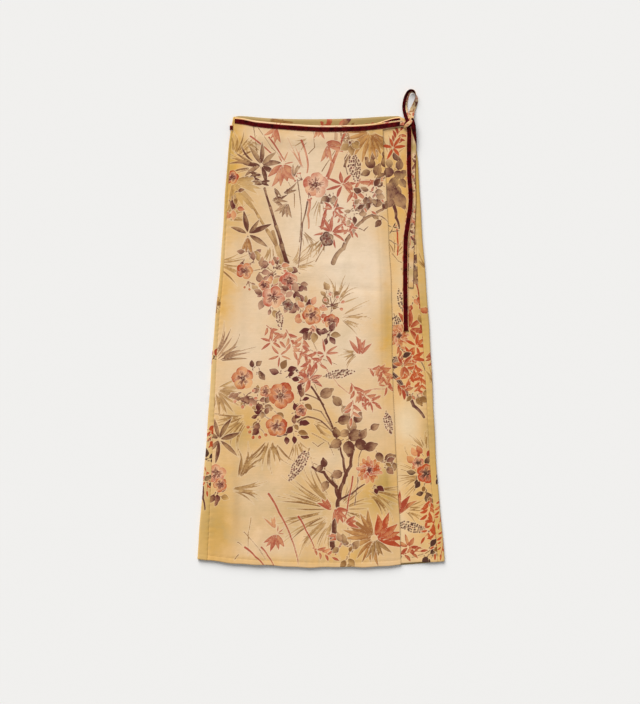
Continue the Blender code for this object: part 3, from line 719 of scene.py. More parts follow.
# Clusters of the print: its painter, x, y, size, the way it points, then what else that painter takes
overMotifs = (
    # behind: palms and grasses
    (fan, -170, 330, 50, 60, khaki, 6, 70, 0.1, 0.5), (palm, -172, 288, 66, -42, khaki, 9, 120, 0.14, 0.0),
    (fan, -188, 212, 46, 35, khaki, 7, 80, 0.1, 0.4), (palm, 98, 384, 62, -108, gold, 13, 180, 0.12, 0.5),
    (fan, 100, 378, 40, -70, khaki, 7, 120), (fan, -60, 118, 44, 25, khaki, 8, 70, 0.07, 0.25),
    (fan, -95, 170, 50, -80, khaki, 6, 80, 0.1, 0.2), (fan, -210, 128, 56, -12, khaki, 6, 60, 0.1, 0.5),
    (fan, 26, 44, 46, 60, khaki, 8, 70, 0.09, 0.4), (fan, 34, 22, 48, -12, khaki, 8, 60, 0.07, 0.35),
    (fan, -208, -64, 62, 38, mauve, 8, 60, 0.1, 0.25), (fan, -206, -118, 52, -35, khaki, 9, 110, 0.15, 0.4),
    (fan, -144, -170, 58, 215, khaki, 8, 70, 0.09, 0.5), (fan, -98, -212, 56, -92, khaki, 9, 80, 0.11, 0.5),
    (fan, -50, -212, 42, -75, khaki, 6, 70, 0.1, 0.35), (fan, -18, -180, 40, -35, khaki, 4, 50, 0.1, 0.5),
    (fan, -162, -296, 56, 62, khaki, 7, 50, 0.11, 0.6), (fan, -178, -312, 56, -8, khaki, 6, 44, 0.11, 0.5),
    (fan, 28, -352, 96, 172, khaki, 17, 96, 0.055, 0.5), (fan, 36, -352, 58, 30, khaki, 12, 120, 0.07),
    (fan, 24, -366, 66, -125, khaki, 8, 70, 0.07, 0.35), (fan, 86, -310, 66, -28, khaki, 10, 56, 0.07, 0.6),
    (palm, 104, -408, 64, 190, gold, 12, 190, 0.13, 0.7), (palm, 106, -408, 46, -80, khaki, 5, 90, 0.17, 0.7),
    (palm, 104, -408, 56, 32, orange, 7, 120, 0.23, 0.85), (fan, 73, -44, 34, 200, khaki, 5, 60, 0.12, 0.35),
    # upper garden
    (droop, -86, 392, 32, -110, 4, 90), (droop, -4, 392, 26, -95, 3, 80, 0.4),
    (star, -116, 318, 42, 70, mauve, 8, 0.22), (fan, -124, 316, 54, 160, mauve, 5, 60, 0.12, 0.5),
    (droop, -74, 320, 46, -88, 6, 130, 0.6), (palm, -108, 282, 30, 165, mauve, 4, 50, 0.2, 0.7),
    (palm, -98, 252, 34, -10, mauve, 5, 80, 0.18), (palm, -64, 246, 34, -110, mauve, 5, 90, 0.2, 0.35),
    (palm, 14, 360, 40, -95, coral, 3, 60, 0.2, 0.55), (palm, 6, 362, 40, -12, coral, 3, 46, 0.26, 0.6),
    (star, 42, 280, 34, 100, coral, 7, 0.2, 0.7), (star, 64, 268, 30, 20, coral, 7, 0.22, 0.75),
    (palm, 64, 286, 58, 3, coral, 3, 26, 0.15, 0.5), (leaves, 18, 262, 26, -100, mauve, 6, 200, 0.6, 0.1),
    (sprig, 30, 240, 40, -75, 0.65), (star, 24, 232, 24, 40, coral, 6, 0.18, 0.55), (sprig, 46, 222, 40, -60),
    (star, 54, 196, 22, 10, coral, 6, 0.24, 0.65), (star, 20, 186, 34, 80, coral, 9, 0.18, 0.7),
    (flower, 12, 174, 15, 20, mauve, 0.7), (fan, 8, 178, 34, -120, khaki, 4, 60, 0.14, 0.5),
    (flower, -11, 280, 27, 12, pink, 0.3), (buds, -36, 290, 14, 150, coral, 3),
    (buds, -24, 264, 14, -80, coral, 2, 60), (berries, 66, 312, 52, -82, 0.46),
    (berries, 48, 372, 40, -70, 0.42, 0.7, mauve), (leaves, 56, 362, 20, -60, khaki, 5, 200, 0.4, 0.1),
    (star, -142, 184, 48, 15, mauve, 7, 0.19, 0.65), (palm, -142, 182, 40, -95, gold, 3, 70, 0.2, 0.7),
    (leaves, -178, 262, 22, -60, plum, 5, 160, 0.5), (flower, -174, 294, 15, 10, orange, 0.4),
    (leaves, -176, 240, 20, -70, coral, 4, 120, 0.5), (palm, -112, 298, 32, 176, mauve, 2, 40, 0.2, 0.75),
    (palm, -120, 284, 26, -8, mauve, 2, 50, 0.2, 0.8), (palm, -92, 276, 26, -60, mauve, 2, 50, 0.2, 0.5),
    (palm, -76, 262, 40, 30, mauve, 3, 40, 0.14, 0.4), (palm, -54, 292, 34, 70, mauve, 3, 60, 0.16, 0.3),
    (fan, -150, 372, 44, -50, khaki, 4, 60, 0.07, 0.35), (fan, -20, 372, 34, 200, khaki, 4, 70, 0.08, 0.35),
    (fan, -30, 300, 60, 112, coral, 3, 30, 0.06, 0.35), (fan, 0, 262, 50, -100, khaki, 4, 50, 0.07, 0.3),
    (sprig, 96, 290, 40, -60, 0.5), (sprig, 60, 250, 44, -30),
    (leaves, 96, 262, 30, 0, mauve, 8, 360, 0.5, 0.2), (leaves, 66, 226, 26, 60, mauve, 6, 360, 0.4, 0.2),
    (fan, -40, 196, 44, -60, khaki, 4, 40, 0.07, 0.3), (fan, -10, 176, 40, -110, khaki, 4, 50, 0.07, 0.3),
    # blossom spray across the middle
    (leaves, -140, 140, 26, 0, plum, 5, 360, 0.23, 0.2), (leaves, -86, 118, 26, 0, plum, 6, 360, 0.18, 0.2),
    (leaves, -34, 46, 24, 0, plum, 6, 360, 0.33, 0.2), (leaves, 6, 30, 26, 0, khaki, 5, 360, 0.6, 0.2),
    (leaves, -128, 118, 22, 30, plum, 5, 160, 0.18), (flower, -148, 112, 17, 70, orange, 0.35),
    (buds, -142, 92, 16, -80, orange, 3), (buds, -86, 116, 20, 60, pink, 4, 200),
    (leaves, -84, 112, 20, 0, coral, 5, 300, 0.35), (leaves, -112, 80, 18, 170, plum, 5, 240, 0.23),
    (flower, -110, 84, 12, 30, orange, 0.3), (leaves, -60, 92, 28, 80, plum, 6, 300, 0.18, 0.6),
    (flower, -62, 92, 20, 25, pink, 0.45), (leaves, -93, 60, 33, -60, plum, 8, 330, 0.23, 0.6),
    (flower, -93, 60, 23, 0, pink, 0.2), (leaves, -58, 62, 24, -10, plum, 7, 240, 0.38, 0.3),
    (flower, -64, 46, 12, 10, mauve), (berries, -80, 16, 38, -85, 0.4, 0.55),
    (leaves, -18, 26, 30, 60, coral, 8, 330, 0.4, 0.6), (flower, -18, 26, 21, 40, orange, 0.25),
    (flower, 20, 14, 16, 15, orange, 0.4), (leaves, -14, 0, 24, -80, plum, 7, 220, 0.58, 0.2),
    (leaves, 14, -8, 22, -60, plum, 6, 240, 0.53, 0.2), (buds, 22, 44, 22, 80, pink, 6, 240),
    (leaves, 14, 64, 18, 90, khaki, 4, 160, 0.5, 0.2),
    # coral leaf chain
    (sprig, -106, 6, 40, -50, 0.6, 0.59), (star, -96, -26, 26, 100, coral, 5),
    (sprig, -68, -2, 46, -70, 0.55, 0.59), (star, -80, -52, 26, -90, coral, 5, 0.18, 0.65),
    (sprig, -34, -12, 44, -100, 0.55, 0.57), (star, 8, -50, 30, 80, coral, 6),
    (sprig, -44, -44, 50, -32, 0.6, 0.54, 4), (sprig, -20, -60, 40, -110, 0.65, 0.59),
    (star, -22, -96, 30, -70, coral, 6, 0.26, 0.65), (fan, -26, -104, 22, 90, plum, 5, 200, 0.16, 0.7),
    (palm, 76, -54, 42, 88, coral, 5, 100, 0.18, 0.6), (berries, 38, -88, 58, 10, 0.3),
    (sprig, 92, -78, 36, -20, 0.6, 0.59), (sprig, 112, -72, 36, -60, 0.65, 0.59),
    (star, 128, -112, 22, 30, coral, 6), (sprig, 58, -106, 44, -60, 0.6, 0.59),
    (sprig, 74, -120, 40, -40, 0.65, 0.59), (sprig, 62, -140, 34, -95, 0.5, 0.59, 2),
    (star, 96, -142, 22, -80, coral, 5, 0.18, 0.7),
    # blossoms low on the left
    (leaves, -96, -160, 34, 0, plum, 8, 360, 0.65, 0.3), (leaves, -128, -140, 26, 0, plum, 5, 360, 0.4, 0.2),
    (leaves, -58, -196, 30, -30, plum, 6, 200, 0.8, 0.3),
    (leaves, -128, -86, 20, 40, mauve, 5, 180, 0.6, 0.2),
    (leaves, -152, -124, 26, -90, plum, 7, 220, 0.4, 0.3), (flower, -152, -97, 24, 30, orange, 0.15),
    (buds, -146, -132, 22, -60, pink, 5, 240), (leaves, -120, -150, 20, -20, mauve, 4, 120, 0.4),
    (flower, -108, -122, 12, 0, orange, 0.3), (leaves, -74, -100, 28, 60, plum, 5, 150, 0.75, 0.3),
    (leaves, -50, -142, 30, -20, plum, 7, 200, 0.85, 0.2),
    (leaves, -62, -176, 34, -30, plum, 8, 200, 0.9, 0.3),
    (leaves, -116, -176, 26, 160, plum, 6, 220, 0.6, 0.3), (flower, -78, -130, 27, 55, orange, 0.42),
    (flower, -86, -190, 23, 20, orange, 0.32), (buds, -124, -190, 22, -110, orange, 5, 160),
    (flower, -38, -160, 12, 10, orange), (star, -198, -216, 46, 10, mauve, 7, 0.19, 0.55),
    (flower, -204, -282, 20, 10, pink, 0.3), (leaves, -204, -318, 22, -70, plum, 5, 140, 0.4, 0.2),
    (flower, -196, -304, 15, 40, orange, 0.15), (berries, -44, -268, 70, -122, 0.32, 0.8),
    # tree, big blossom and reeds
    (shaggy, 95, -275, 27, 8), (leaves, 118, -268, 26, 10, plum, 5, 110, 0.6, 0.3),
    (leaves, 104, -302, 20, -70, plum, 2, 60, 0.9, 0.2), (berries, 132, -186, 44, -78, 0.4),
    (droop, -86, -400, 34, -105, 5, 110, 0.65), (palm, -88, -392, 34, 112, coral, 3, 70, 0.15, 0.2),
    (palm, 28, -348, 34, -62, coral, 5, 110, 0.2, 0.75), (palm, 22, -356, 36, 130, coral, 3, 60, 0.2, 0.75),
    (sprig, -16, -428, 42, -25, 0.65, 0.5), (palm, 46, -378, 30, 5, coral, 3, 80, 0.22, 0.8),
    (palm, 44, -406, 32, 178, coral, 3, 50, 0.18, 0.75), (leaves, 48, -428, 22, 80, mauve, 6, 220, 0.35, 0.2),
    (leaves, 50, -446, 18, -40, khaki, 4, 180, 0.5, 0.2),
)

# Stems and boughs: ink, width, depth, then x and y of the points they pass
overStems = (
    (khaki, 1.4, 0.6, -131, 392, -126, 350, -117, 312), (coral, 3.6, 0.7, -137, 374, -96, 340),
    (coral, 3.6, 0.75, -101, 372, -74, 331), (khaki, 1.3, 0.5, -122, 390, -96, 352, -66, 322),
    (khaki, 1.3, 0.5, -74, 304, -52, 262, -52, 236), (coral, 4.5, 0.45, -38, 366, -26, 326, -27, 304),
    (khaki, 1.5, 0.5, -24, 340, -12, 352, -14, 382), (coral, 5.5, 0.35, -22, 250, -26, 222, -24, 196),
    (mauve, 2.6, 0.3, -46, 290, -38, 226, -42, 170), (mauve, 3.4, 0.45, -26, 248, -36, 206, -44, 122),
    (khaki, 1.4, 0.4, -10, 130, 4, 154, 10, 170), (khaki, 2.0, 0.75, 2, 306, 18, 330, 32, 352),
    (khaki, 2.0, 0.75, 14, 208, 34, 228), (khaki, 2.0, 0.7, 40, 212, 60, 232, 78, 244),
    (mauve, 2.0, 0.5, 52, 300, 46, 330, 62, 356),
    (mauve, 10.0, 0.35, 24, 128, 44, 156, 62, 186, 80, 208, 100, 220, 132, 236),
    (mauve, 3.4, 0.4, 80, 208, 94, 236, 108, 250), (mauve, 3.0, 0.4, 98, 220, 118, 218, 130, 208),
    (mauve, 2.4, 0.45, 70, 196, 84, 190, 92, 198),
    (khaki, 1.3, 0.7, -150, 108, -104, 118, -76, 96, -52, 66, -30, 30),
    (khaki, 1.2, 0.6, -46, 60, -40, 36, -28, 30), (khaki, 1.2, 0.6, 18, 20, 22, 48, 14, 74),
    (khaki, 1.3, 0.6, -52, -16, -28, -36, 4, -60, 30, -70), (khaki, 1.3, 0.5, -26, -10, -14, -30, -4, -52),
    (coral, 1.3, 0.6, -4, -62, 34, -110, 58, -130), (coral, 1.3, 0.6, 78, -124, 104, -118, 128, -118),
    (mauve, 5.5, 0.9, -52, -78, -34, -98, -10, -126, 10, -164, 28, -206, 34, -236),
    (mauve, 3.0, 0.5, -30, -128, -6, -138, 6, -148), (khaki, 1.4, 0.6, -14, -106, -8, -122),
    (mauve, 4.0, 0.55, -46, -182, -26, -172, 0, -180, 24, -204),
    (mauve, 3.0, 0.45, -24, -156, 0, -162, 22, -196), (khaki, 1.4, 0.7, -18, -204, 14, -222, 24, -246),
    (khaki, 1.3, 0.7, -16, -222, -6, -230, 6, -222), (khaki, 1.3, 0.7, -146, -140, -120, -166, -96, -178),
    (khaki, 1.4, 0.6, -14, -262, 20, -282, 30, -304),
    (mauve, 11.0, 0.95, 24, -430, 26, -396, 34, -352, 36, -330, 30, -308, 6, -280, -16, -270),
    (mauve, 9.0, 0.9, 36, -330, 44, -300, 58, -268, 64, -236, 70, -224),
    (mauve, 6.0, 0.8, 50, -286, 44, -254, 38, -232), (mauve, 4.0, 0.8, 34, -336, 60, -322, 84, -304),
    (mauve, 3.0, 0.75, 30, -306, 22, -292, 26, -276),
    (mauve, 1.6, 0.5, 66, -344, 72, -300, 74, -250, 84, -226),
    (coral, 4.5, 0.8, -102, -322, -82, -358, -60, -402), (coral, 3.0, 0.7, -60, -404, -50, -432, -44, -458),
    (coral, 3.8, 0.7, -44, -366, -30, -392, -14, -424), (coral, 4.2, 0.8, -148, -426, -128, -444, -112, -460),
    (coral, 3.6, 0.65, -116, -426, -104, -442, -92, -462),
    (khaki, 2.0, 0.3, -136, -368, -142, -400, -142, -440),
    (khaki, 1.3, 0.5, -150, -396, -120, -430, -108, -450), (coral, 3.4, 0.7, 62, -288, 54, -330, 46, -374),
    (coral, 3.4, 0.75, 42, -408, 36, -424, 28, -440), (khaki, 1.4, 0.5, 52, -388, 58, -420, 54, -448),
    (khaki, 1.4, 0.9, -162, -416, -154, -422), (khaki, 1.4, 0.9, -168, -450, -160, -440),
    (khaki, 1.4, 0.8, -196, 110, -190, 126), (mauve, 5.0, 0.5, -200, 124, -196, 152, -190, 186),
)
overCanes = (  # ink, x and y of both ends, width, joints, depth
    (khaki, -66, 128, -142, 252, 9.5, 4, 0.3), (mauve, -66, 128, -110, 274, 9.5, 4, 0.75),
    (khaki, -78, 130, -94, 190, 10.0, 2, 0.45), (coral, 2, 196, 14, 250, 8.0, 2, 0.5),
    (coral, 10, 290, 48, 384, 9.0, 3, 0.65), (mauve, 28, 352, 30, 392, 8.0, 1, 0.15),
    (mauve, 46, 316, 64, 356, 5.0, 2, 0.15),
)
overRound = (  # x, y, size and the way the tip points
    (104, 338, 9, 60), (88, 303, 8, 200), (112, 283, 9, 150), (126, 340, 8, 80), (96, 322, 11, 130),
    (110, 308, 10, 70), (124, 322, 8, 110), (118, 296, 8, 200), (130, 305, 8, 40), (80, 234, 10, 190),
    (96, 248, 7, 100), (110, 244, 9, 20), (112, 205, 7, 230), (106, 218, 6, 320), (126, 240, 8, 60),
    (10, -126, 12, 30), (32, -142, 10, 130), (48, -160, 10, 300), (44, -178, 11, 20), (72, -174, 10, 60),
    (60, -190, 11, 120), (46, -204, 9, 200), (66, -208, 13, 30), (30, -204, 9, 100), (30, -224, 11, 210),
    (54, -232, 13, 270), (78, -226, 12, 320), (96, -230, 11, 20), (82, -206, 9, 60), (104, -192, 8, 30),
    (114, -250, 9, 300), (134, -252, 10, 20), (32, -284, 10, 200), (6, -262, 8, 100), (-2, -272, 7, 220),
    (8, -306, 9, 250), (142, -268, 7, 280),
)

# The under front's own print, in the same columns as the over front's tables
underMotifs = (
    (sprig, 138, 356, 34, 60, 0.85, 0.55), (star, 140, 352, 26, 30, orange, 6, 0.24, 0.95),
    (fan, 134, 330, 40, 80, khaki, 4, 80, 0.1, 0.4), (berries, 186, 232, 34, -95, 0.5, 0.8, coral),
    (fan, 176, 208, 40, 70, khaki, 5, 80, 0.1, 0.3), (star, 140, 196, 14, 20, plum, 4, 0.18, 0.8),
    (fan, 144, 140, 34, 70, khaki, 5, 90, 0.1, 0.6), (leaves, 186, 152, 18, 90, mauve, 5, 300, 0.35, 0.2),
    (leaves, 182, 120, 20, 70, mauve, 5, 300, 0.35, 0.2), (leaves, 180, 64, 28, -60, coral, 4, 100, 0.5, 0.2),
    (berries, 156, 52, 44, -80, 0.3, 0.6), (berries, 146, 6, 40, -80, 0.6, 0.6),
    (star, 172, 0, 38, 80, coral, 7, 0.24, 0.75), (shaggy, 152, -14, 22, 8, coral, 0.5),
    (star, 200, -8, 22, 40, coral, 6, 0.3, 0.85), (leaves, 204, 4, 16, 60, plum, 4, 200, 0.5),
    (star, 186, -34, 26, 10, orange, 6, 0.24, 0.85), (sprig, 150, -30, 36, -60, 0.7, 0.55),
    (star, 176, -58, 30, -20, orange, 7, 0.24, 0.9), (sprig, 182, -66, 40, -80, 0.9, 0.55, 3, orange),
    (star, 170, -96, 26, 60, orange, 6, 0.22, 0.8), (sprig, 196, -90, 40, -100, 0.9, 0.5, 3, orange),
    (sprig, 148, -108, 30, -40, 0.7, 0.6, 2), (leaves, 152, -60, 22, 0, plum, 4, 360, 0.8, 0.1),
    (sprig, 186, -60, 44, -110, 0.85, 0.5, 3, orange), (star, 160, -72, 26, 30, coral, 6, 0.26, 0.7),
    (star, 204, -128, 22, -90, orange, 5, 0.2, 0.9), (leaves, 182, -120, 24, -70, khaki, 5, 120, 0.5, 0.2),
    (fan, 204, -286, 52, 172, khaki, 12, 110, 0.07, 0.5), (fan, 206, -240, 34, 110, khaki, 7, 80, 0.08, 0.55),
    (leaves, 196, -258, 24, 100, coral, 7, 260, 0.5, 0.3), (flower, 190, -262, 12, 40, pink, 0.4),
    (leaves, 200, -288, 30, -60, plum, 9, 330, 0.8, 0.4), (flower, 204, -282, 20, 10, orange, 0.85),
    (leaves, 206, -314, 22, -90, plum, 5, 100, 0.9, 0.2), (palm, 148, -366, 50, 66, coral, 4, 76, 0.2, 0.75),
    (fan, 160, -352, 40, -15, khaki, 6, 70, 0.1, 0.5), (berries, 182, -388, 62, -14, 0.32, 0.85),
    (sprig, 214, -330, 46, -100, 0.95, 0.5, 4, orange), (sprig, 222, -372, 40, -120, 0.95, 0.5, 3, orange),
    (sprig, 222, -398, 40, -90, 0.9, 0.45, 3, orange), (star, 170, -426, 28, 80, coral, 6, 0.26, 0.8),
    (sprig, 160, -440, 34, 10, 0.7, 0.5, 2), (leaves, 200, -432, 24, -30, plum, 5, 150, 0.8),
)
underStems = (
    (plum, 3.4, 0.95, 138, -4, 152, -34, 172, -60, 188, -96), (plum, 2.6, 0.9, 172, -60, 196, -66, 206, -90),
    (mauve, 7.0, 0.85, 141, 240, 146, 216, 152, 196), (plum, 2.2, 0.9, 134, 188, 152, 190),
    (plum, 2.4, 0.9, 134, 172, 142, 166, 150, 162), (orange, 4.0, 0.7, 146, 200, 149, 176, 149, 144),
    (khaki, 1.5, 0.8, 138, 146, 150, 132, 160, 126), (khaki, 1.4, 0.6, 150, 330, 144, 312),
    (coral, 3.4, 0.7, 180, 104, 190, 70, 192, 40), (plum, 1.8, 0.8, 170, 80, 190, 92),
    (mauve, 3.0, 0.6, 204, -26, 206, -64, 206, -100, 212, -150),
    (mauve, 1.6, 0.6, 210, -60, 214, -110, 220, -170), (plum, 3.0, 0.95, 142, -56, 160, -66, 178, -86),
    (plum, 2.4, 0.95, 184, -70, 196, -84), (mauve, 10.0, 0.8, 140, -90, 160, -118, 180, -150, 200, -172),
    (plum, 3.0, 0.9, 140, -88, 158, -110), (khaki, 1.5, 0.6, 206, 20, 212, 44, 210, 70),
    (khaki, 1.5, 0.6, 200, 100, 208, 60), (mauve, 2.0, 0.5, 214, -170, 222, -230, 226, -270),
    (khaki, 1.4, 0.7, 178, -446, 204, -438, 232, -420),
)
underRound = (
    (147, 336, 9, 100), (160, 302, 8, 20), (133, 246, 11, 230), (148, 268, 10, 120), (159, 284, 8, 300),
    (131, 304, 11, 200), (153, 318, 9, 80), (151, 300, 9, 330), (142, 284, 11, 60), (138, 264, 13, 250),
    (154, 250, 14, 300), (133, 322, 8, 120), (144, -68, 10, 80), (206, 6, 7, 120), (186, 136, 9, 60),
    (184, 112, 9, 100), (182, 94, 8, 300), (222, -436, 9, 60), (146, -448, 9, 20), (134, 276, 9, 170),
)
edgeMotifs = (  # on the strips of the back that turn over to the front, and inside its waist
    (fan, -120, 408, 60, -14, khaki, 5, 50, 0.1, 0.9), (fan, -70, 402, 50, 190, khaki, 9, 140, 0.1, 0.9),
    (leaves, 18, 395, 18, 0, coral, 4, 360, 0.8, 0.0), (leaves, 56, 392, 26, 0, plum, 11, 360, 0.7, 0.0),
    (flower, 42, 395, 12, 10), (palm, 104, 406, 30, -120, coral, 3, 70, 0.3, 0.9),
    (sprig, -214, -196, 40, -80, 0.9, 0.5, 3, orange), (leaves, -218, -210, 20, 0, orange, 5, 300, 0.9, 0.2),
    (leaves, -224, -258, 20, 80, plum, 5, 200, 0.8, 0.2), (sprig, -226, -270, 46, -85, 0.9, 0.4, 3, orange),
    (leaves, -228, -300, 16, 80, plum, 5, 200, 0.6, 0.2),
    (leaves, -208, -60, 14, 80, coral, 5, 200, 0.7, 0.2), (leaves, -200, 40, 14, 80, khaki, 5, 200, 0.7, 0.2),
    (sprig, 218, -40, 40, -90, 0.7, 0.5), (leaves, 214, 30, 18, 80, coral, 5, 200, 0.6, 0.2),
    (fan, 210, 110, 40, 100, khaki, 5, 60, 0.1, 0.6), (fan, 222, -120, 50, 95, khaki, 5, 40, 0.1, 0.6),
    (sprig, 234, -330, 50, -95, 0.9, 0.4, 4, orange), (leaves, 230, -280, 18, -60, plum, 5, 200, 0.8, 0.2),
    (sprig, 238, -390, 50, -95, 0.9, 0.4, 4, orange),
)
edgeStems = (
    (mauve, 5.0, 0.8, -232, -300, -230, -330, -226, -352), (khaki, 1.6, 0.6, 206, 160, 203, 120, 208, 80),
    (mauve, 3.0, 0.6, 216, -60, 220, -130, 224, -190), (khaki, 1.6, 0.6, -204, 30, -200, 60),
)

# Washes of the ground: x, y, half width, half height, strength and which wash; the large pale washes over the
# upper middle are partly a painted highlight, standing for the satin's broad glare
washes = (
    (-176, 300, 26, 150, 0.85, "warm"), (-168, 392, 40, 22, 0.5, "warm"), (-158, 342, 30, 34, 0.45, "warm"),
    (104, 356, 46, 50, 0.75, "warm"), (120, 306, 20, 60, 0.4, "warm"), (-190, 90, 26, 130, 0.4, "warm"),
    (-196, 40, 22, 60, 0.5, "warm"), (118, 170, 20, 90, 0.5, "warm"), (122, 10, 26, 70, 0.6, "warm"),
    (134, 60, 14, 180, 0.5, "warm"), (-150, -190, 60, 50, 0.6, "warm"), (-188, -330, 34, 110, 0.55, "warm"),
    (-214, -400, 34, 70, 0.65, "warm"), (-100, -70, 110, 60, 0.15, "warm"), (-20, -190, 60, 60, 0.5, "warm"),
    (30, -230, 60, 40, 0.35, "warm"), (110, -330, 56, 66, 0.8, "warm"), (40, -440, 90, 26, 0.6, "warm"),
    (-100, -452, 130, 12, 0.5, "warm"), (84, 8, 60, 30, 0.25, "warm"), (-120, 54, 50, 40, 0.4, "pale"),
    (128, -40, 18, 120, 0.45, "warm"), (-60, 380, 70, 20, 0.2, "warm"), (-130, 210, 30, 80, 0.2, "warm"),
    (150, -300, 12, 150, 0.3, "warm"), (40, 120, 60, 60, 0.8, "pale"), (80, 70, 70, 70, 0.55, "pale"),
    (-20, 320, 60, 80, 0.55, "pale"), (20, 230, 70, 60, 0.75, "pale"), (-30, 180, 60, 60, 0.65, "pale"),
    (-60, -60, 90, 60, 0.4, "pale"), (-170, 150, 30, 40, 0.35, "pale"), (-120, -330, 50, 40, 0.3, "pale"),
    (-70, -350, 110, 60, 0.3, "olive"), (-20, -300, 60, 60, 0.25, "warm"), (60, -30, 50, 50, 0.5, "pale"),
    (-150, -20, 50, 60, 0.4, "pale"), (30, -60, 60, 40, 0.3, "pale"), (-70, -430, 50, 26, 0.25, "pale"),
    (96, 130, 30, 60, 0.6, "pale"), (-100, 300, 40, 50, 0.35, "pale"), (60, -150, 40, 30, 0.3, "pale"),
    (10, -250, 50, 30, 0.5, "pale"), (-130, 380, 30, 20, 0.3, "pale"), (110, 260, 24, 30, 0.45, "pale"),
    (118, -330, 30, 26, 0.5, "olive"), (-166, -200, 34, 40, 0.35, "olive"),
    (-206, -380, 26, 60, 0.4, "olive"), (124, -300, 14, 40, 0.6, "olive"), (-182, 320, 14, 90, 0.4, "olive"),
    (130, 20, 10, 60, 0.4, "olive"), (100, 378, 40, 14, 0.3, "olive"), (20, -218, 40, 20, 0.2, "olive"),
)
underWashes = (
    (164, 280, 60, 160, 0.8, "warm"), (190, 120, 30, 160, 0.8, "warm"), (150, 120, 16, 90, 0.4, "warm"),
    (180, -60, 60, 90, 0.6, "warm"), (200, -300, 60, 140, 0.7, "warm"), (230, -420, 30, 60, 0.6, "warm"),
    (168, -186, 26, 44, 0.9, "pale"), (160, 90, 20, 60, 0.5, "pale"), (156, -380, 16, 50, 0.5, "pale"),
    (150, -300, 20, 40, 0.3, "pale"), (200, 30, 20, 40, 0.4, "olive"), (214, -200, 18, 60, 0.4, "olive"),
    (186, 300, 16, 80, 0.4, "olive"), (140, 356, 20, 20, 0.4, "pale"), (172, 150, 16, 50, 0.5, "pale"),
)
washOrder = ("warm", "pale", "olive")


def paintWashes(x, y, blots):
    # how far each wash covers the ground: soft bells that add up towards 1
    field = np.zeros((x.size, 3))
    for cx, cy, wide, high, amount, kind in blots:
        bell = np.exp(-((x.ravel() - cx) / wide) ** 2 - ((y.ravel() - cy) / high) ** 2)
        column = washOrder.index(kind)
        field[:, column] = 1 - (1 - field[:, column]) * (1 - amount * bell)
    return field


def paint(canvas, seed, motifs, stems=(), canes=(), rounds=(), shift=(0, 0)):
    # lays one table of each kind on a canvas; every motif has its own fixed random draw
    moved = {"x": canvas["x"] - shift[0], "y": canvas["y"] - shift[1], "ink": canvas["ink"]}
    for i, (ink, x0, y0, x1, y1, width, joints, depth) in enumerate(canes):
        cane(moved, np.random.default_rng((seed, 1, i)), (x0, y0), (x1, y1), width, ink, joints, depth)
    for ink, width, depth, *points in stems:
        branch(moved, list(zip(points[::2], points[1::2])), width, ink, depth)
    rng = np.random.default_rng((seed, 2))
    for x, y, size, turn in rounds:
        roundLeaf(moved, rng, (x, y), size, turn)
    for i, (painter, x, y, *values) in enumerate(motifs):
        painter(moved, np.random.default_rng((seed, 3, i)), (x, y), *values)


def store(piece, name, values):
    # keeps a vector for each point of a piece, for its material to read
    layer = piece.data.attributes.new(name, "FLOAT_VECTOR", "POINT")
    layer.data.foreach_set("vector", values.astype(np.float32).ravel())


def keep(piece, canvas, wash):
    # stores a piece's inks and washes
    for name, values in (*canvas["ink"].items(), ("wash", wash)):
        store(piece, name, values)


def vectorsOf(data, name):
    # a whole column of vectors out of a mesh, one row of three to a point
    values = np.empty(len(data) * 3, np.float32)
    data.foreach_get(name, values)
    return values.reshape(-1, 3).astype(float)


def placesOf(panel):
    # x and y of a panel's points, in millimetres
    return vectorsOf(panel.data.vertices, "co").T[:2] / mm


printing = {
    "apart": 2000,  # the underside is printed this far away, so that the two sides never meet
    "hiddenTo": 60, "hiddenShift": (-14, 24),  # the clusters left of this x, on the hidden cloth
    "backShifts": ((5, (1800, -40)), (6, (2130, 90))),  # random seed and shift of each printing below
}


def printPanels():
    # the over front's print goes on to the hidden left of the under front and, twice, to the underside
    overPrint = (overMotifs, overStems, overCanes, overRound)
    x, y = placesOf(overFront)
    canvas = newCanvas(x, y)
    paint(canvas, 1, *overPrint)
    keep(overFront, canvas, paintWashes(x, y, washes))
    x, y = placesOf(underFront)
    canvas = newCanvas(x, y)
    paint(canvas, 2, underMotifs, underStems, (), underRound)
    hidden = [motif for motif in overMotifs if motif[1] < printing["hiddenTo"]]
    paint(canvas, 3, hidden, (), overCanes, (), printing["hiddenShift"])
    keep(underFront, canvas, paintWashes(x, y, underWashes + washes[:3]))
    x, y = placesOf(backPanel)
    below = vectorsOf(backPanel.data.vertices, "normal")[:, 2] < 0
    canvas = newCanvas(np.where(below, printing["apart"] - x, x), y)
    paint(canvas, 4, edgeMotifs, edgeStems)
    for seed, shift in printing["backShifts"]:
        paint(canvas, seed, *overPrint, shift)
    keep(backPanel, canvas, paintWashes(np.where(below, -x, x), y, underWashes + washes))


printPanels()
print("print painted")

satin = {
    "cream": "E2BE92", "pale": "EDD6BA", "warm": "D9A54A", "olive": "AE8C40", "stain": 0.52,
    "roughness": (0.36, 0.52), "weave": 0.12, "slub": 0.25, "shine": 0.28, "haze": 0.05,
    "hazeSpread": 0.4, "relief": 0.0012,
    "inks": {  # pale, second and deep tone of each ink, and how much it covers
        "khaki": ("C8963E", "B07C30", "7A4606", 0.88), "gold": ("DC9638", "E0A44A", "904E06", 0.88),
        "mauve": ("B47C52", "AA7A3E", "56180A", 0.95), "coral": ("DE8054", "DA924C", "A42C10", 0.87),
        "orange": ("E28A48", "E4A856", "AA3404", 0.95), "pink": ("EAB698", "E6A470", "B65038", 0.95),
        "plum": ("A4584C", "A06434", "56060E", 0.97),
    },
}


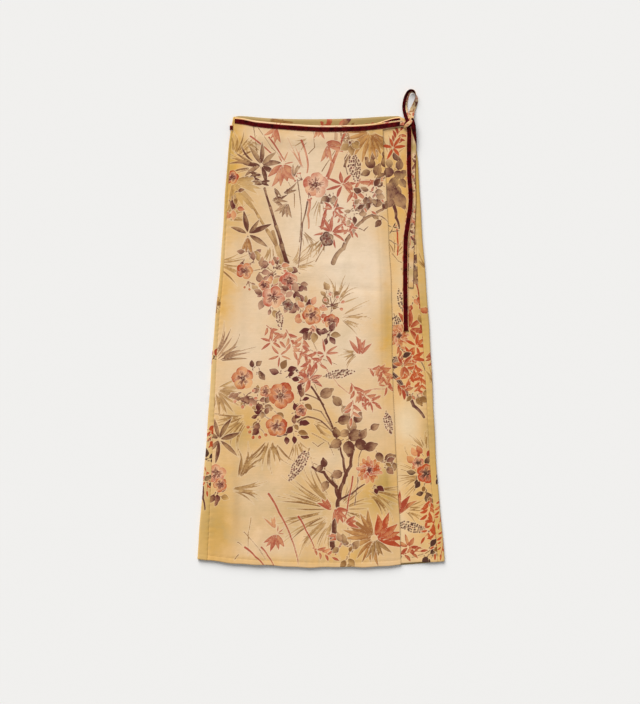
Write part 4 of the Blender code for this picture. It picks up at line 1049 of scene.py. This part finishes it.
def nodeKit(tree):
    # short ways to add nodes to one tree; every value may be a number, a colour or another node's socket
    def feed(socket, value):
        if isinstance(value, bpy.types.NodeSocket):
            tree.links.new(value, socket)
        else:
            socket.default_value = value

    def add(kind, values=(), group=None, **settings):
        node = tree.nodes.new("ShaderNode" + kind)
        if group:
            node.node_tree = group
        for key in [k for k in settings if not k[0].isupper()]:
            setattr(node, key, settings.pop(key))
        for key, value in (*dict(values).items(), *settings.items()):
            feed(node.inputs[key if isinstance(key, int) else key.replace("_", " ")], value)
        return node

    def maths(operation, *values, clamp=False):
        return add("Math", enumerate(values), operation=operation, use_clamp=clamp).outputs[0]

    def blend(share, first, second):
        return add("Mix", {0: share, 6: first, 7: second}, data_type="RGBA").outputs[2]

    def ramp(value, low, high, toLow=0.0, toHigh=1.0, kind="LINEAR"):
        values = enumerate((value, low, high, toLow, toHigh))
        return add("MapRange", values, interpolation_type=kind).outputs[0]

    return feed, add, maths, blend, ramp


def newGroup(name, inputs, outputs):
    # a shader node group: colours start white, numbers and vectors as given
    group = bpy.data.node_groups.new(name, "ShaderNodeTree")
    kinds = {tuple: "Vector", float: "Float", str: "Color"}
    for socket, start in inputs.items():
        kind = "NodeSocket" + kinds[type(start)]
        made = group.interface.new_socket(socket, in_out="INPUT", socket_type=kind)
        made.default_value = tint(start) if isinstance(start, str) else start
    for socket, kind in outputs.items():
        group.interface.new_socket(socket, in_out="OUTPUT", socket_type="NodeSocket" + kind)
    return group, group.nodes.new("NodeGroupInput").outputs, group.nodes.new("NodeGroupOutput").inputs


def makeInkWash():
    # one watercolour ink over what lies below: a bare halo, a soft edge, a darker rim, uneven depth
    group, given, out = newGroup("inkWash", {
        "Ink": (outside, 0.5, 0), "Cover": 0.9, "Mottle": 0.5, "Grain": 0.5,
        **dict.fromkeys(("Under", "Pale", "Second", "Deep", "Halo"), "FFFFFF")}, {"Color": "Color"})
    feed, add, maths, blend, ramp = nodeKit(group)
    distance, depth, lean = add("SeparateXYZ", Vector=given["Ink"]).outputs
    ragged = maths("ADD", distance, ramp(given["Grain"], 0, 1, -0.55, 0.55))
    shape = ramp(ragged, -0.45, 0.55, kind="SMOOTHSTEP")
    rim = ramp(ragged, 0.2, 1.7, 0.3, 0, "SMOOTHSTEP")
    uneven = ramp(given["Mottle"], 0.3, 0.7, -0.2, 0.4)
    dark = maths("ADD", maths("ADD", depth, rim), uneven, clamp=True)
    halo = ramp(distance, -2.1, -0.7, 0, 0.2, "SMOOTHSTEP")
    tone = blend(dark, blend(lean, given["Pale"], given["Second"]), given["Deep"])
    held = maths("MULTIPLY", maths("MULTIPLY", shape, given["Cover"]), ramp(dark, 0, 1, 0.62, 1))
    feed(out["Color"], blend(held, blend(halo, given["Under"], given["Halo"]), tone))
    return group


def makeSatinWeave():
    # satin's fine warp lines, slubs and slow unevenness: a height for Bump and a roughness
    group, given, out = newGroup("satinWeave", {"Weave": 0.1, "Slub": 0.2, "Smooth": 0.35, "Dull": 0.5},
                                 dict.fromkeys(("Height", "Roughness", "Mottle", "Grain"), "Float"))
    feed, add, maths, _, ramp = nodeKit(group)
    place = add("TexCoord").outputs["Object"]
    warp = add("Mapping", Vector=place, Scale=(1400, 60, 200)).outputs[0]
    weft = add("Mapping", Vector=place, Scale=(45, 420, 60)).outputs[0]
    threads = add("TexNoise", Vector=warp, Scale=1.0, Detail=2.0).outputs[0]
    slubs = add("TexNoise", Vector=weft, Scale=1.0, Detail=3.0).outputs[0]
    mottle = add("TexNoise", Vector=place, Scale=75.0, Detail=4.0, Roughness=0.6).outputs[0]
    thick = maths("MULTIPLY_ADD", slubs, given["Slub"], maths("MULTIPLY", threads, given["Weave"]))
    feed(out["Height"], maths("MULTIPLY_ADD", mottle, 0.6, thick))
    feed(out["Roughness"], ramp(slubs, 0.3, 0.7, given["Smooth"], given["Dull"]))
    feed(out["Mottle"], mottle)
    feed(out["Grain"], add("TexNoise", Vector=place, Scale=620.0, Detail=2.0).outputs[0])
    return group


def makeGround():
    # the tea-stained ground: cream, with warm, pale and olive washes that bleed unevenly; the pale wash is
    # partly a painted highlight, standing for the satin's glare
    group, given, out = newGroup("stainedGround", {
        "Wash": (0, 0, 0), "Stain": 0.3, **dict.fromkeys(("Cream", "Warm", "Pale", "Olive"), "FFFFFF")},
        {"Color": "Color"})
    feed, add, maths, blend, ramp = nodeKit(group)
    place = add("TexCoord").outputs["Object"]
    clouds = add("TexNoise", Vector=place, Scale=10.0, Detail=6.0, Roughness=0.6, Distortion=0.5).outputs[0]
    bleeds = add("TexNoise", Vector=place, Scale=30.0, Detail=5.0, Roughness=0.65).outputs[0]
    colour = given["Cream"]
    for name, wash, source, low, high in zip(
            ("Warm", "Pale", "Olive"), add("SeparateXYZ", Vector=given["Wash"]).outputs,
            (clouds, bleeds, bleeds), (-0.35, -0.5, -0.5), (0.55, 0.5, 0.6)):
        drift = ramp(source, 0.25, 0.75, low, high)
        colour = blend(maths("MULTIPLY_ADD", drift, given["Stain"], wash, clamp=True), colour, given[name])
    feed(out["Color"], colour)
    return group


inkWash, satinWeave, stainedGround = makeInkWash(), makeSatinWeave(), makeGround()


def newMaterial(name, **values):
    # an empty material: the values that are the same all over go straight on its shader
    made = bpy.data.materials.new(name)
    made.use_nodes = True
    shader = made.node_tree.nodes["Principled BSDF"]
    for key, value in values.items():
        shader.inputs[key.replace("_", " ")].default_value = value
    return made, shader.inputs, nodeKit(made.node_tree)


def printedSatin(name, changes=None):
    # printed satin: stained ground, inks in order, satin weave in bump and roughness
    look = {**satin, **(changes or {})}
    made, shader, (feed, add, *_) = newMaterial(
        name, Specular_IOR_Level=look["shine"], Sheen_Weight=look["haze"], Sheen_Roughness=look["hazeSpread"])

    def stored(attribute):
        return add("Attribute", attribute_name=attribute).outputs["Vector"]

    smoothest, dullest = look["roughness"]
    weave = add("Group", group=satinWeave, Weave=look["weave"], Slub=look["slub"], Smooth=smoothest,
                Dull=dullest).outputs
    tones = {tone.title(): tint(look[tone]) for tone in ("cream", "warm", "pale", "olive")}
    colour = add("Group", group=stainedGround, Wash=stored("wash"), Stain=look["stain"], **tones).outputs[0]
    for ink in inkNames:
        *codes, cover = look["inks"][ink]
        tones = dict(zip(("Pale", "Second", "Deep"), map(tint, codes)), Halo=tint(look["pale"]))
        colour = add("Group", group=inkWash, Under=colour, Ink=stored(ink), Cover=cover,
                     Mottle=weave["Mottle"], Grain=weave["Grain"], **tones).outputs[0]
    feed(shader["Base Color"], colour)
    feed(shader["Roughness"], weave["Roughness"])
    bump = add("Bump", Height=weave["Height"], Strength=0.5, Distance=look["relief"])
    feed(shader["Normal"], bump.outputs[0])
    return made


def dress(piece, slot, nodes, *materials):
    # gives a piece its materials, puts it on the root body and hides the parts it stands for
    for material in materials:
        piece.data.materials.append(material)
    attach(piece, "root")
    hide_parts(*nodes)


# the layers below are a little warmer, and the reverse of the cloth is greyer and darker: the duller side of
# the cloth, with painted shade for the inside of the skirt seen at the waist
richer = {"cream": "E6C190", "pale": "E9CFA8", "warm": "DAA654", "olive": "AE8C44",
          "inks": {
              **satin["inks"],
              "coral": ("DC7C46", "DA9648", "A02E0E", 0.95), "orange": ("E0883A", "E3A44C", "B43C08", 0.95),
              "mauve": ("A87258", "A07A4A", "50121A", 0.95), "plum": ("80463A", "8E6438", "3A080A", 0.95)}}
frontSatin = printedSatin("printedSatinFront")
underSatin = printedSatin("printedSatinUnder", richer)
backSatin = printedSatin("printedSatinBack", {**richer, "cream": "DDB97E", "warm": "CDA04E"})
# the reverse's dark tones hold painted shade, because the inside of the back at the waist lies in shadow
reverseSatinShaded = printedSatin("satinReverseShaded", {"cream": "AA8C56", "warm": "9A7E42", "pale": "B4985F",
                                             "olive": "86753A", "roughness": (0.5, 0.62)})
dress(overFront, "printed_satin", ["over_front_panel"], frontSatin, reverseSatinShaded)
dress(underFront, "printed_satin", ["under_front_panel"], underSatin, reverseSatinShaded)
dress(backPanel, "printed_satin", ["back_panel"], backSatin, reverseSatinShaded)
print("panels finished")

ties = {
    "ribbonWidth": 9.0, "ribbonRise": 1.1, "ribbonDrop": 3.0,  # velvet, sewn on below the waist edges
    "strapWidth": 11.0, "strapRise": 1.0,  # satin strap of a tie
    "clear": 0.12, "around": 22,  # gap below a ribbon, and points round a band
    "waistRows": 190, "strapRows": 90, "knotRows": 40, "headRows": 44, "loopRows": 120,
    "longRows": 260, "shortRows": 220,  # stations along each band
    "foldGap": 0.75,  # how far the back tie stands off the folds
    "waistAt": 405.0,  # height at which the left ends of the waist ribbons are found
    "overInset": 0.6, "overEnd": 161.0, "underInset": 26, "underEnd": 154.0, "underHigher": 1,
    "strapSpan": (108.0, 161.5), "strapLower": 0.6, "strapWider": 4.4,  # the strap behind the waist ribbon
    "strapSink": (0.25, 0.35, 118),  # how deep it lies, how much deeper past the wrap edge, and from where
    "endSpan": (154.4, 163.6), "endWidths": (11.5, 8.0), "endLift": 1.9,  # the patch at the ribbon's end
    "endLower": (4.6, 0.28, 154), "endRows": 12,  # its drop, its slope and where the slope starts
    # width and rise of each band, then how far it lies off its line
    "backSatin": (11.0, 0.6, -0.1), "backVelvet": (8.6, 0.6, 0.35),
    "loopSatin": (10.6, 0.7, -0.3), "loopVelvet": (6.6, 0.8, 0.35), "loopFlare": (1.8, 0.45, 0.7),
    "loopOffCentre": (-2.2, -1.0),  # the velvet's place across the strap, going up and coming back
    "longSatin": (11.0, 0.7), "longVelvet": (8.6, 0.9, 0.6),
    "shortSatin": (8.6, 0.9), "shortEdge": (8.2, 0.7, (0.9, 0.0, -0.15)),
    "backLine": ((-176, 390.5), (-120, 390), (0, 389), (100, 390.5), (172, 397)),
    "knotCentre": (170.2, 397.6, 11.2), "knotRadii": (8.8, 7.2, 3.7), "knotTurn": 14.0,
    # x, y and height above the cloth
    "longTail": (
        (170.4, 391, 4.4), (171.8, 379, 2.6), (171.4, 348, 1.9), (171.8, 300, 1.9), (174.7, 250, 1.9),
        (168.9, 202, 1.9), (165, 172, 1.9), (164, 95, 1.8), (164.6, 50, 0.5), (165.5, -5, 0.5)),
    "shortTail": (
        (178.6, 389, 1.8), (181.4, 366, 0.5), (180.6, 340, 0.5), (179.2, 300, 0.5), (180.4, 250, 0.5),
        (178.4, 200, 0.5), (176.6, 150, 0.5), (175.4, 79, 0.5)),
    # x, y, z and how far the ribbon rolls over
    "loop": (
        (170.8, 404, 10.6, 0), (166.6, 415, 7, 4), (163.6, 429, 3.6, 12), (164.4, 442, 3.9, 22),
        (167.6, 453.6, 4.9, 34), (173.2, 461.4, 5.2, 46), (180.4, 461.2, 5.2, 64), (185.4, 454.4, 5, 100),
        (185.8, 445, 4.3, 132), (182.2, 434.4, 3.4, 152), (178.0, 424.6, 4.4, 166), (175.8, 414, 7.6, 174),
        (174.6, 403, 10.2, 180)),
    # x, y, z and width of the satin band over the knot
    "knotBand": ((161.6, 390.6, 9.0, 3.0), (165.0, 393.2, 13.8, 6.2), (169.8, 397.4, 15.7, 7.2),
                 (174.0, 401.2, 15.0, 6.2), (177.0, 404.6, 12.0, 2.6)),
    # x, y, height above the cloth and width of the short tail's velvet head
    "shortHead": ((177.6, 409.0, 6.0, 3.6), (178.8, 401.0, 6.4, 7.6), (179.8, 392.0, 5.4, 9.4),
                  (181.8, 380.0, 3.4, 7.4), (184.2, 368.0, 2.3, 4.2), (186.0, 356.0, 1.7, 0.8)),
}


def routeOf(points, samples):
    # a smooth line through a few points, carrying any further columns with it
    table = np.column_stack((np.arange(len(points)), np.array(points, float)))
    at = np.linspace(0, len(points) - 1, samples)
    return np.stack([through(table, c, at) for c in range(1, table.shape[1])], -1)


def unit(v):
    # vectors brought to length 1
    return v / np.maximum(np.linalg.norm(v, axis=-1, keepdims=True), 1e-9)


def runOf(line):
    # how far along a line each of its points lies
    return np.concatenate(([0], np.cumsum(np.linalg.norm(np.diff(line, axis=0), axis=1))))


def band(name, centres, widths, rise, ups=(0.0, 0.0, 1.0), square=0.35):
    # a flat band along a line: at each station a rounded oblong, |cos| to the power of square across
    # and |sin| to the power of 1.6 square up
    count, loops = len(centres), ties["around"]
    ahead = unit(np.gradient(centres, axis=0))
    sides = unit(np.cross(ahead, ups))
    ups = np.cross(sides, ahead)
    widths = np.broadcast_to(widths, count)
    turn = np.linspace(0, 2 * np.pi, loops, endpoint=False)
    across = np.sign(np.cos(turn)) * np.abs(np.cos(turn)) ** square
    up = np.sign(np.sin(turn)) * np.abs(np.sin(turn)) ** (1.6 * square)
    reach = widths[:, None] / 2 * across
    rings = centres[:, None] + sides[:, None] * reach[..., None] + ups[:, None] * (rise / 2 * up)[:, None]
    quads, ends = tubeOf(count, loops)
    points = np.concatenate((rings.reshape(-1, 3), rings[[0, -1]].mean(1)))
    piece = meshFrom(name, points, quads[:, ::-1], ends[:, ::-1])
    run = runOf(centres)
    place = np.stack((np.repeat(run, loops), reach.ravel(), np.tile(up, count)), -1)
    store(piece, "place", np.concatenate((place, ((run[0], 0, 0), (run[-1], 0, 0)))))
    return piece


def waistBand(name, low, high, waist, layer, drop):
    # velvet laid along a waist edge, its middle half a width and a drop below it
    x = np.linspace(low, high, ties["waistRows"])
    edge, rise = waist(x), ties["ribbonRise"]
    z = layerTop(x, edge, layer) + ties["clear"] + rise / 2 + 0.12 * np.sin(x / 11)
    centres = np.stack((x, edge - drop - ties["ribbonWidth"] / 2, z), -1)
    width = ties["ribbonWidth"] + 0.25 * np.sin(x / 9) + 0.15 * np.sin(x / 3.7)
    return band(name, centres, width, rise)


def backTieLine():
    # up the right fold, along below the back, and round the left fold, just outside the cloth
    line = np.array(ties["backLine"], float)
    depth, out = cut["foldDepth"], ties["foldGap"]

    def turned(side, angles, more):
        # round one fold, at the given angles about its middle
        y = through(line, 1, np.full(len(angles), 200.0 * side))
        fold = rightFold(y) if side > 0 else leftFold(y)
        middle = fold - side * depth
        top = layerTop(middle, y, 0 if side > 0 else 1)
        bottom = cut["tieLift"] * waistShare(y)
        a = np.radians(angles)
        return np.stack((middle + side * (depth + out + more * np.cos(a)) * np.cos(a), y,
                         (top + bottom) / 2 + ((top - bottom) / 2 + out) * np.sin(a)), -1)

    right = turned(1, np.linspace(28, -90, 14), 0.0)
    left = turned(-1, np.linspace(-90, 96, 20), 1.4)
    x = np.linspace(right[-1, 0], left[0, 0], 62)[1:-1]
    base = np.stack((x, through(line, 1, x), np.full(len(x), right[-1, 2])), -1)
    centres = np.concatenate((right, base, left))
    ahead = unit(np.gradient(centres, axis=0))
    return centres, np.cross(ahead, (0.0, 1.0, 0.0))


def tailLine(rows, samples):
    # a tail's middle line, riding on whichever part of the cloth below it is highest
    line = routeOf(rows, samples)
    x, y = line[:, 0], line[:, 1]
    below = np.max([underHeight(np.minimum(x + k, rightSeam(y) - 1), y) for k in (-5, 0, 5)], 0)
    return np.stack((x, y, below + line[:, 2] + ties["strapRise"] / 2), -1)


def knotLump():
    # a squashed ball, drawn in by three slanting folds
    lon, lat = np.meshgrid(np.linspace(0, 2 * np.pi, 73)[:-1], np.linspace(-np.pi / 2, np.pi / 2, 35)[1:-1])
    fold = 1 - 0.10 * np.abs(np.sin(1.5 * lon + 1.1 * lat + 0.4)) ** 3 + 0.035 * np.sin(5 * lon - 3 * lat)
    turn = math.radians(ties["knotTurn"])
    rx, ry, rz = ties["knotRadii"]
    cx, cy, cz = ties["knotCentre"]
    x, y = rx * fold * np.cos(lat) * np.cos(lon), ry * fold * np.cos(lat) * np.sin(lon)
    grid = np.stack((cx + x * math.cos(turn) - y * math.sin(turn),
                     cy + x * math.sin(turn) + y * math.cos(turn), cz + rz * np.sin(lat)), -1)
    points = np.concatenate((grid.reshape(-1, 3), ((cx, cy, cz - rz), (cx, cy, cz + rz))))
    return meshFrom("knotVelvet", points, *tubeOf(*lon.shape))


drop = ties["ribbonDrop"]
overStart = leftSeam(ties["waistAt"]) + ties["overInset"]
underStart = leftFold(ties["waistAt"]) + ties["underInset"]
overRibbon = waistBand("overRibbon", overStart, ties["overEnd"], overWaist, 1, drop)
underRibbon = waistBand("underRibbon", underStart, ties["underEnd"], underWaist, 0,
                        drop - ties["underHigher"])

strapX = np.linspace(*ties["strapSpan"], ties["strapRows"])
strapY = overWaist(strapX) - drop - ties["ribbonWidth"] / 2 + ties["strapLower"]
sink, deeper, sinkFrom = ties["strapSink"]
strapZ = layerTop(strapX, overWaist(strapX), 1) - sink - deeper * smooth(0, 8, strapX - sinkFrom)
waistLine = np.stack((strapX, strapY, strapZ), -1)
waistStrap = band("waistTieStrap", waistLine, ties["ribbonWidth"] + ties["strapWider"], 0.7)

endX = np.linspace(*ties["endSpan"], ties["endRows"])
lower, slope, slopeFrom = ties["endLower"]
endY = overWaist(endX) - lower - (endX - slopeFrom) * slope
endZ = layerTop(endX, 400.0, 1) + ties["endLift"] + 0.5 * np.sin(endX / 2)
endWidths = np.linspace(*ties["endWidths"], ties["endRows"])
endPatch = band("ribbonEnd", np.stack((endX, endY, endZ), -1), endWidths, 0.9)

centres, ups = backTieLine()
wide, rise, off = ties["backSatin"]
backStrap = band("backTieStrap", centres + ups * off, wide, rise, ups)
wide, rise, off = ties["backVelvet"]
backVelvet = band("backTieVelvet", centres + ups * off, wide, rise, ups)

knotVelvet = knotLump()
route = routeOf(ties["knotBand"], ties["knotRows"])
bandLine = route[:, :3]
knotSatin = band("knotSatin", bandLine, route[:, 3], 1.3, square=0.6)
route = routeOf(ties["shortHead"], ties["headRows"])
headLine = route[:, :3].copy()
headLine[:, 2] += underHeight(np.minimum(route[:, 0], rightSeam(route[:, 1]) - 1), route[:, 1])
shortHead = band("shortTailVelvet", headLine, route[:, 3], 1.3, square=0.55)

route = routeOf(ties["loop"], ties["loopRows"])  # the loop's strap rolls over as it goes round
share = np.linspace(0, 1, ties["loopRows"])
loopLine = route[:, :3]
ahead = unit(np.gradient(loopLine, axis=0))
flat = unit(np.stack((ahead[:, 1], -ahead[:, 0], 0 * share), -1))
roll = np.radians(route[:, 3])[:, None]
across = flat * np.cos(roll) - np.array((0.0, 0.0, 1.0)) * np.sin(roll)
loopUps = np.cross(across, ahead)
wide, rise, off = ties["loopSatin"]
loopSatin = band("loopSatin", loopLine + loopUps * off, wide, rise, loopUps)
wide, rise, off = ties["loopVelvet"]
flare, flareFrom, flareTo = ties["loopFlare"]
offCentre = across * np.where(share < 0.5, *ties["loopOffCentre"])[:, None]
loopWidth = wide + flare * smooth(flareFrom, flareTo, share)
loopVelvet = band("loopVelvet", loopLine + loopUps * off + offCentre, loopWidth, rise, loopUps)

longLine = tailLine(ties["longTail"], ties["longRows"])
longStrap = band("longTailStrap", longLine, *ties["longSatin"])
wide, rise, off = ties["longVelvet"]
longVelvet = band("longTailVelvet", longLine + (0.0, 0.0, off), wide, rise)
shortLine = tailLine(ties["shortTail"], ties["shortRows"])
shortStrap = band("shortTailStrap", shortLine, *ties["shortSatin"])
wide, rise, off = ties["shortEdge"]
shortUnder = band("shortTailEdge", shortLine + off, wide, rise)
print("ribbons, ties and knot made")

thread = {
    "long": 2.0, "thick": 0.34, "pitch": 2.9, "arch": 0.1, "overLift": 0.14, "underLift": 0.12,
    "hemAt": -452.0, "hemInset": (3, 3), "rightInset": (4, 2),  # where the hem's rows start and stop
    "ribbonStart": 2, "ribbonEnd": 160.0, "ribbonInset": 0.9,  # and the ribbon's, and how far in they run
}


def stitches(name, rows):
    # a small arched capsule for each stitch, placed along lines of points as whole arrays
    turn = np.linspace(0, 2 * np.pi, 6, endpoint=False)
    along = np.array((-1.0, -0.75, 0.0, 0.75, 1.0))
    girth = np.array((0.35, 0.85, 1.0, 0.85, 0.35)) * thread["thick"] / 2
    high = girth[:, None] * np.sin(turn) + thread["arch"] * (1 - along[:, None] ** 2)
    shape = np.stack((np.repeat(along * thread["long"] / 2, 6), (girth[:, None] * np.cos(turn)).ravel(),
                      high.ravel()), -1)
    caps = ((0, 3, 2, 1), (0, 5, 4, 3), (24, 25, 26, 27), (24, 27, 28, 29))
    pattern = np.concatenate((tubeOf(5, 6)[0], caps))[:, ::-1]
    points, quads, made = [], [], 0
    for row in rows:
        run = runOf(row)
        at = np.arange(thread["pitch"], run[-1] - thread["pitch"] / 2, thread["pitch"])
        spots = np.stack([np.interp(at, run, row[:, c]) for c in range(3)], -1)
        ahead = unit(np.stack([np.interp(at + 0.5, run, row[:, c]) for c in range(3)], -1) - spots)
        side = unit(np.cross((0.0, 0.0, 1.0), ahead))
        up = np.cross(ahead, side)
        placed = (spots[:, None] + ahead[:, None] * shape[None, :, :1] + side[:, None] * shape[None, :, 1:2]
                  + up[:, None] * shape[None, :, 2:])
        count = len(spots)
        quads.append((pattern[None] + (made + np.arange(count) * 30)[:, None, None]).reshape(-1, 4))
        points.append(placed.reshape(-1, 3))
        made += count * 30
    return meshFrom(name, np.concatenate(points), np.concatenate(quads))


low, (afterSeam, beforeWrap) = thread["hemAt"], thread["hemInset"]
afterWrap, beforeSeam = thread["rightInset"]
hemX = np.linspace(leftSeam(low) + afterSeam, wrapEdge(low) - beforeWrap, 400)
rightX = np.linspace(wrapEdge(low) + afterWrap, rightSeam(low) - beforeSeam, 120)
hemY, rightY = hem(hemX) + overSetup["hemTurn"], underHem(rightX) + overSetup["hemTurn"]
hemStitches = stitches("hemStitches", [
    np.stack((hemX, hemY, overHeight(hemX, hemY) + thread["overLift"]), -1),
    np.stack((rightX, rightY, underHeight(rightX, rightY) + thread["underLift"]), -1)])
ribbonX = np.linspace(leftSeam(ties["waistAt"]) + thread["ribbonStart"], thread["ribbonEnd"], 400)
ribbonTop = layerTop(ribbonX, overWaist(ribbonX), 1) + ties["ribbonRise"] + ties["clear"]
ribbonStitches = stitches("ribbonStitches", [
    np.stack((ribbonX, overWaist(ribbonX) - ties["ribbonDrop"] - inset, ribbonTop), -1)
    for inset in (thread["ribbonInset"], ties["ribbonWidth"] - thread["ribbonInset"])])
print("stitches made")

# edge is the colour at both sides of the velvet: its selvedge, plus a painted highlight along its edges
velvetLook = {"deep": "260204", "lit": "5E080C", "edge": "921A1A", "nap": "B01414", "roughness": 0.82,
              "sheen": 0.25, "sheenSpread": 0.35, "shine": 0.05, "relief": 0.0006}


def makePile():
    # velvet: a slow unevenness where the nap is brushed, a woven edge that also carries a painted highlight,
    # and the pile's fine height
    group, given, out = newGroup("velvetPile", {"Place": (0, 0, 0), "Half Width": 4.5},
                                 dict.fromkeys(("Nap", "SelvedgeSheen", "Height"), "Float"))
    feed, add, maths, _, ramp = nodeKit(group)
    place = add("TexCoord").outputs["Object"]
    strokes = add("TexNoise", Vector=place, Scale=110.0, Detail=3.0, Roughness=0.6).outputs[0]
    across = maths("ABSOLUTE", add("SeparateXYZ", Vector=given["Place"]).outputs["Y"])
    feed(out["Nap"], ramp(strokes, 0.35, 0.7))
    feed(out["SelvedgeSheen"], ramp(maths("DIVIDE", across, given["Half Width"]), 0.8, 0.98, kind="SMOOTHSTEP"))
    feed(out["Height"], add("TexNoise", Vector=place, Scale=1900.0, Detail=2.0).outputs[0])
    return group


velvetPile = makePile()


def velvetMaterial(name, halfWidth):
    # dark pile that lightens where it is brushed, with a redder, lighter band at both sides: the woven
    # selvedge together with a painted highlight along the edges
    look = velvetLook
    made, shader, (feed, add, _, blend, _) = newMaterial(
        name, Roughness=look["roughness"], Specular_IOR_Level=look["shine"], Sheen_Weight=look["sheen"],
        Sheen_Roughness=look["sheenSpread"], Sheen_Tint=tint(look["nap"]))
    place = add("Attribute", attribute_name="place").outputs["Vector"]
    pile = add("Group", group=velvetPile, Place=place, Half_Width=halfWidth).outputs
    brushed = blend(pile["Nap"], tint(look["deep"]), tint(look["lit"]))
    feed(shader["Base Color"], blend(pile["SelvedgeSheen"], brushed, tint(look["edge"])))
    bump = add("Bump", Height=pile["Height"], Strength=0.6, Distance=look["relief"])
    feed(shader["Normal"], bump.outputs[0])
    return made


def threadMaterial(name, low, high):
    # twisted thread, in two close tones
    made, shader, (feed, add, _, blend, _) = newMaterial(name, Roughness=0.6)
    place = add("TexCoord").outputs["Object"]
    twist = add("TexNoise", Vector=place, Scale=900.0, Detail=1.0).outputs[0]
    feed(shader["Base Color"], blend(twist, tint(low), tint(high)))
    return made


waistVelvet = velvetMaterial("waistVelvet", ties["ribbonWidth"] / 2)
tieVelvet = velvetMaterial("tieVelvet", ties["longVelvet"][0] / 2)
knotPile = velvetMaterial("knotVelvetPile", 60.0)
hemThread = threadMaterial("hemThread", "A98748", "CFA968")
ribbonThread = threadMaterial("ribbonThread", "2E070B", "5A141B")
strapSatin = printedSatin("strapSatin", {"cream": "E2BE93", "pale": "EBD2B8", "warm": "D3A25E",
                                         "olive": "B99A5C", "stain": 0.5})


def printBand(piece, seed, inks, count, depth):
    # a strip cut from the print: random leaves and stems in the band's own length and width
    along, across, _ = vectorsOf(piece.data.attributes["place"].data, "vector").T
    canvas = newCanvas(along, across)
    rng = np.random.default_rng(seed)
    for i in range(count):
        start = (rng.uniform(0, along.max()), rng.uniform(-5, 5))
        turn = rng.uniform(-60, 60) + 180 * rng.integers(0, 2)
        ray(canvas, inks[i % len(inks)], start, turn, 0, rng.uniform(6, 20), rng.uniform(1.5, 5.5),
            ("leaf", "round", "line")[i % 3], rng.normal(0, 1), depth + rng.normal(0, 0.2))
    stains = [(30 * i + 8, 0, 12, 20, 0.85, ("warm", "olive")[i % 2])
              for i in range(int(along.max() / 30) + 1)]
    keep(piece, canvas, paintWashes(along, across, stains))


for piece, seed, inks, count, depth, node in (
        (endPatch, 11, ("pink", "mauve"), 7, 0.5, "over_waist_ribbon"),
        (waistStrap, 17, ("pink", "coral"), 8, 0.4, "over_waist_ribbon"),
        (backStrap, 12, ("khaki", "coral", "mauve"), 50, 0.5, "back_tie"),
        (knotSatin, 13, ("pink", "coral"), 4, 0.2, "tie_knot"),
        (loopSatin, 14, ("gold", "khaki", "plum", "coral"), 44, 0.6, "tie_loop"),
        (longStrap, 15, ("mauve", "coral", "khaki"), 60, 0.5, "long_tail"),
        (shortStrap, 16, ("mauve", "plum", "coral"), 46, 0.55, "short_tail")):
    printBand(piece, seed, inks, count, depth)
    dress(piece, "printed_satin" if piece is shortStrap else "velvet_ribbon", [node], strapSatin)
for piece, material, node in (
        (overRibbon, waistVelvet, "over_waist_ribbon"), (ribbonStitches, ribbonThread, "over_waist_ribbon"),
        (underRibbon, waistVelvet, "under_waist_ribbon"), (backVelvet, tieVelvet, "back_tie"),
        (knotVelvet, knotPile, "tie_knot"), (loopVelvet, tieVelvet, "tie_loop"),
        (longVelvet, tieVelvet, "long_tail"),
        (shortHead, knotPile, "short_tail"), (shortUnder, tieVelvet, "short_tail")):
    dress(piece, "velvet_ribbon", [node], material)
dress(hemStitches, "printed_satin", ["over_front_panel"], hemThread)
print("finishes and ties set")
low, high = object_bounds()
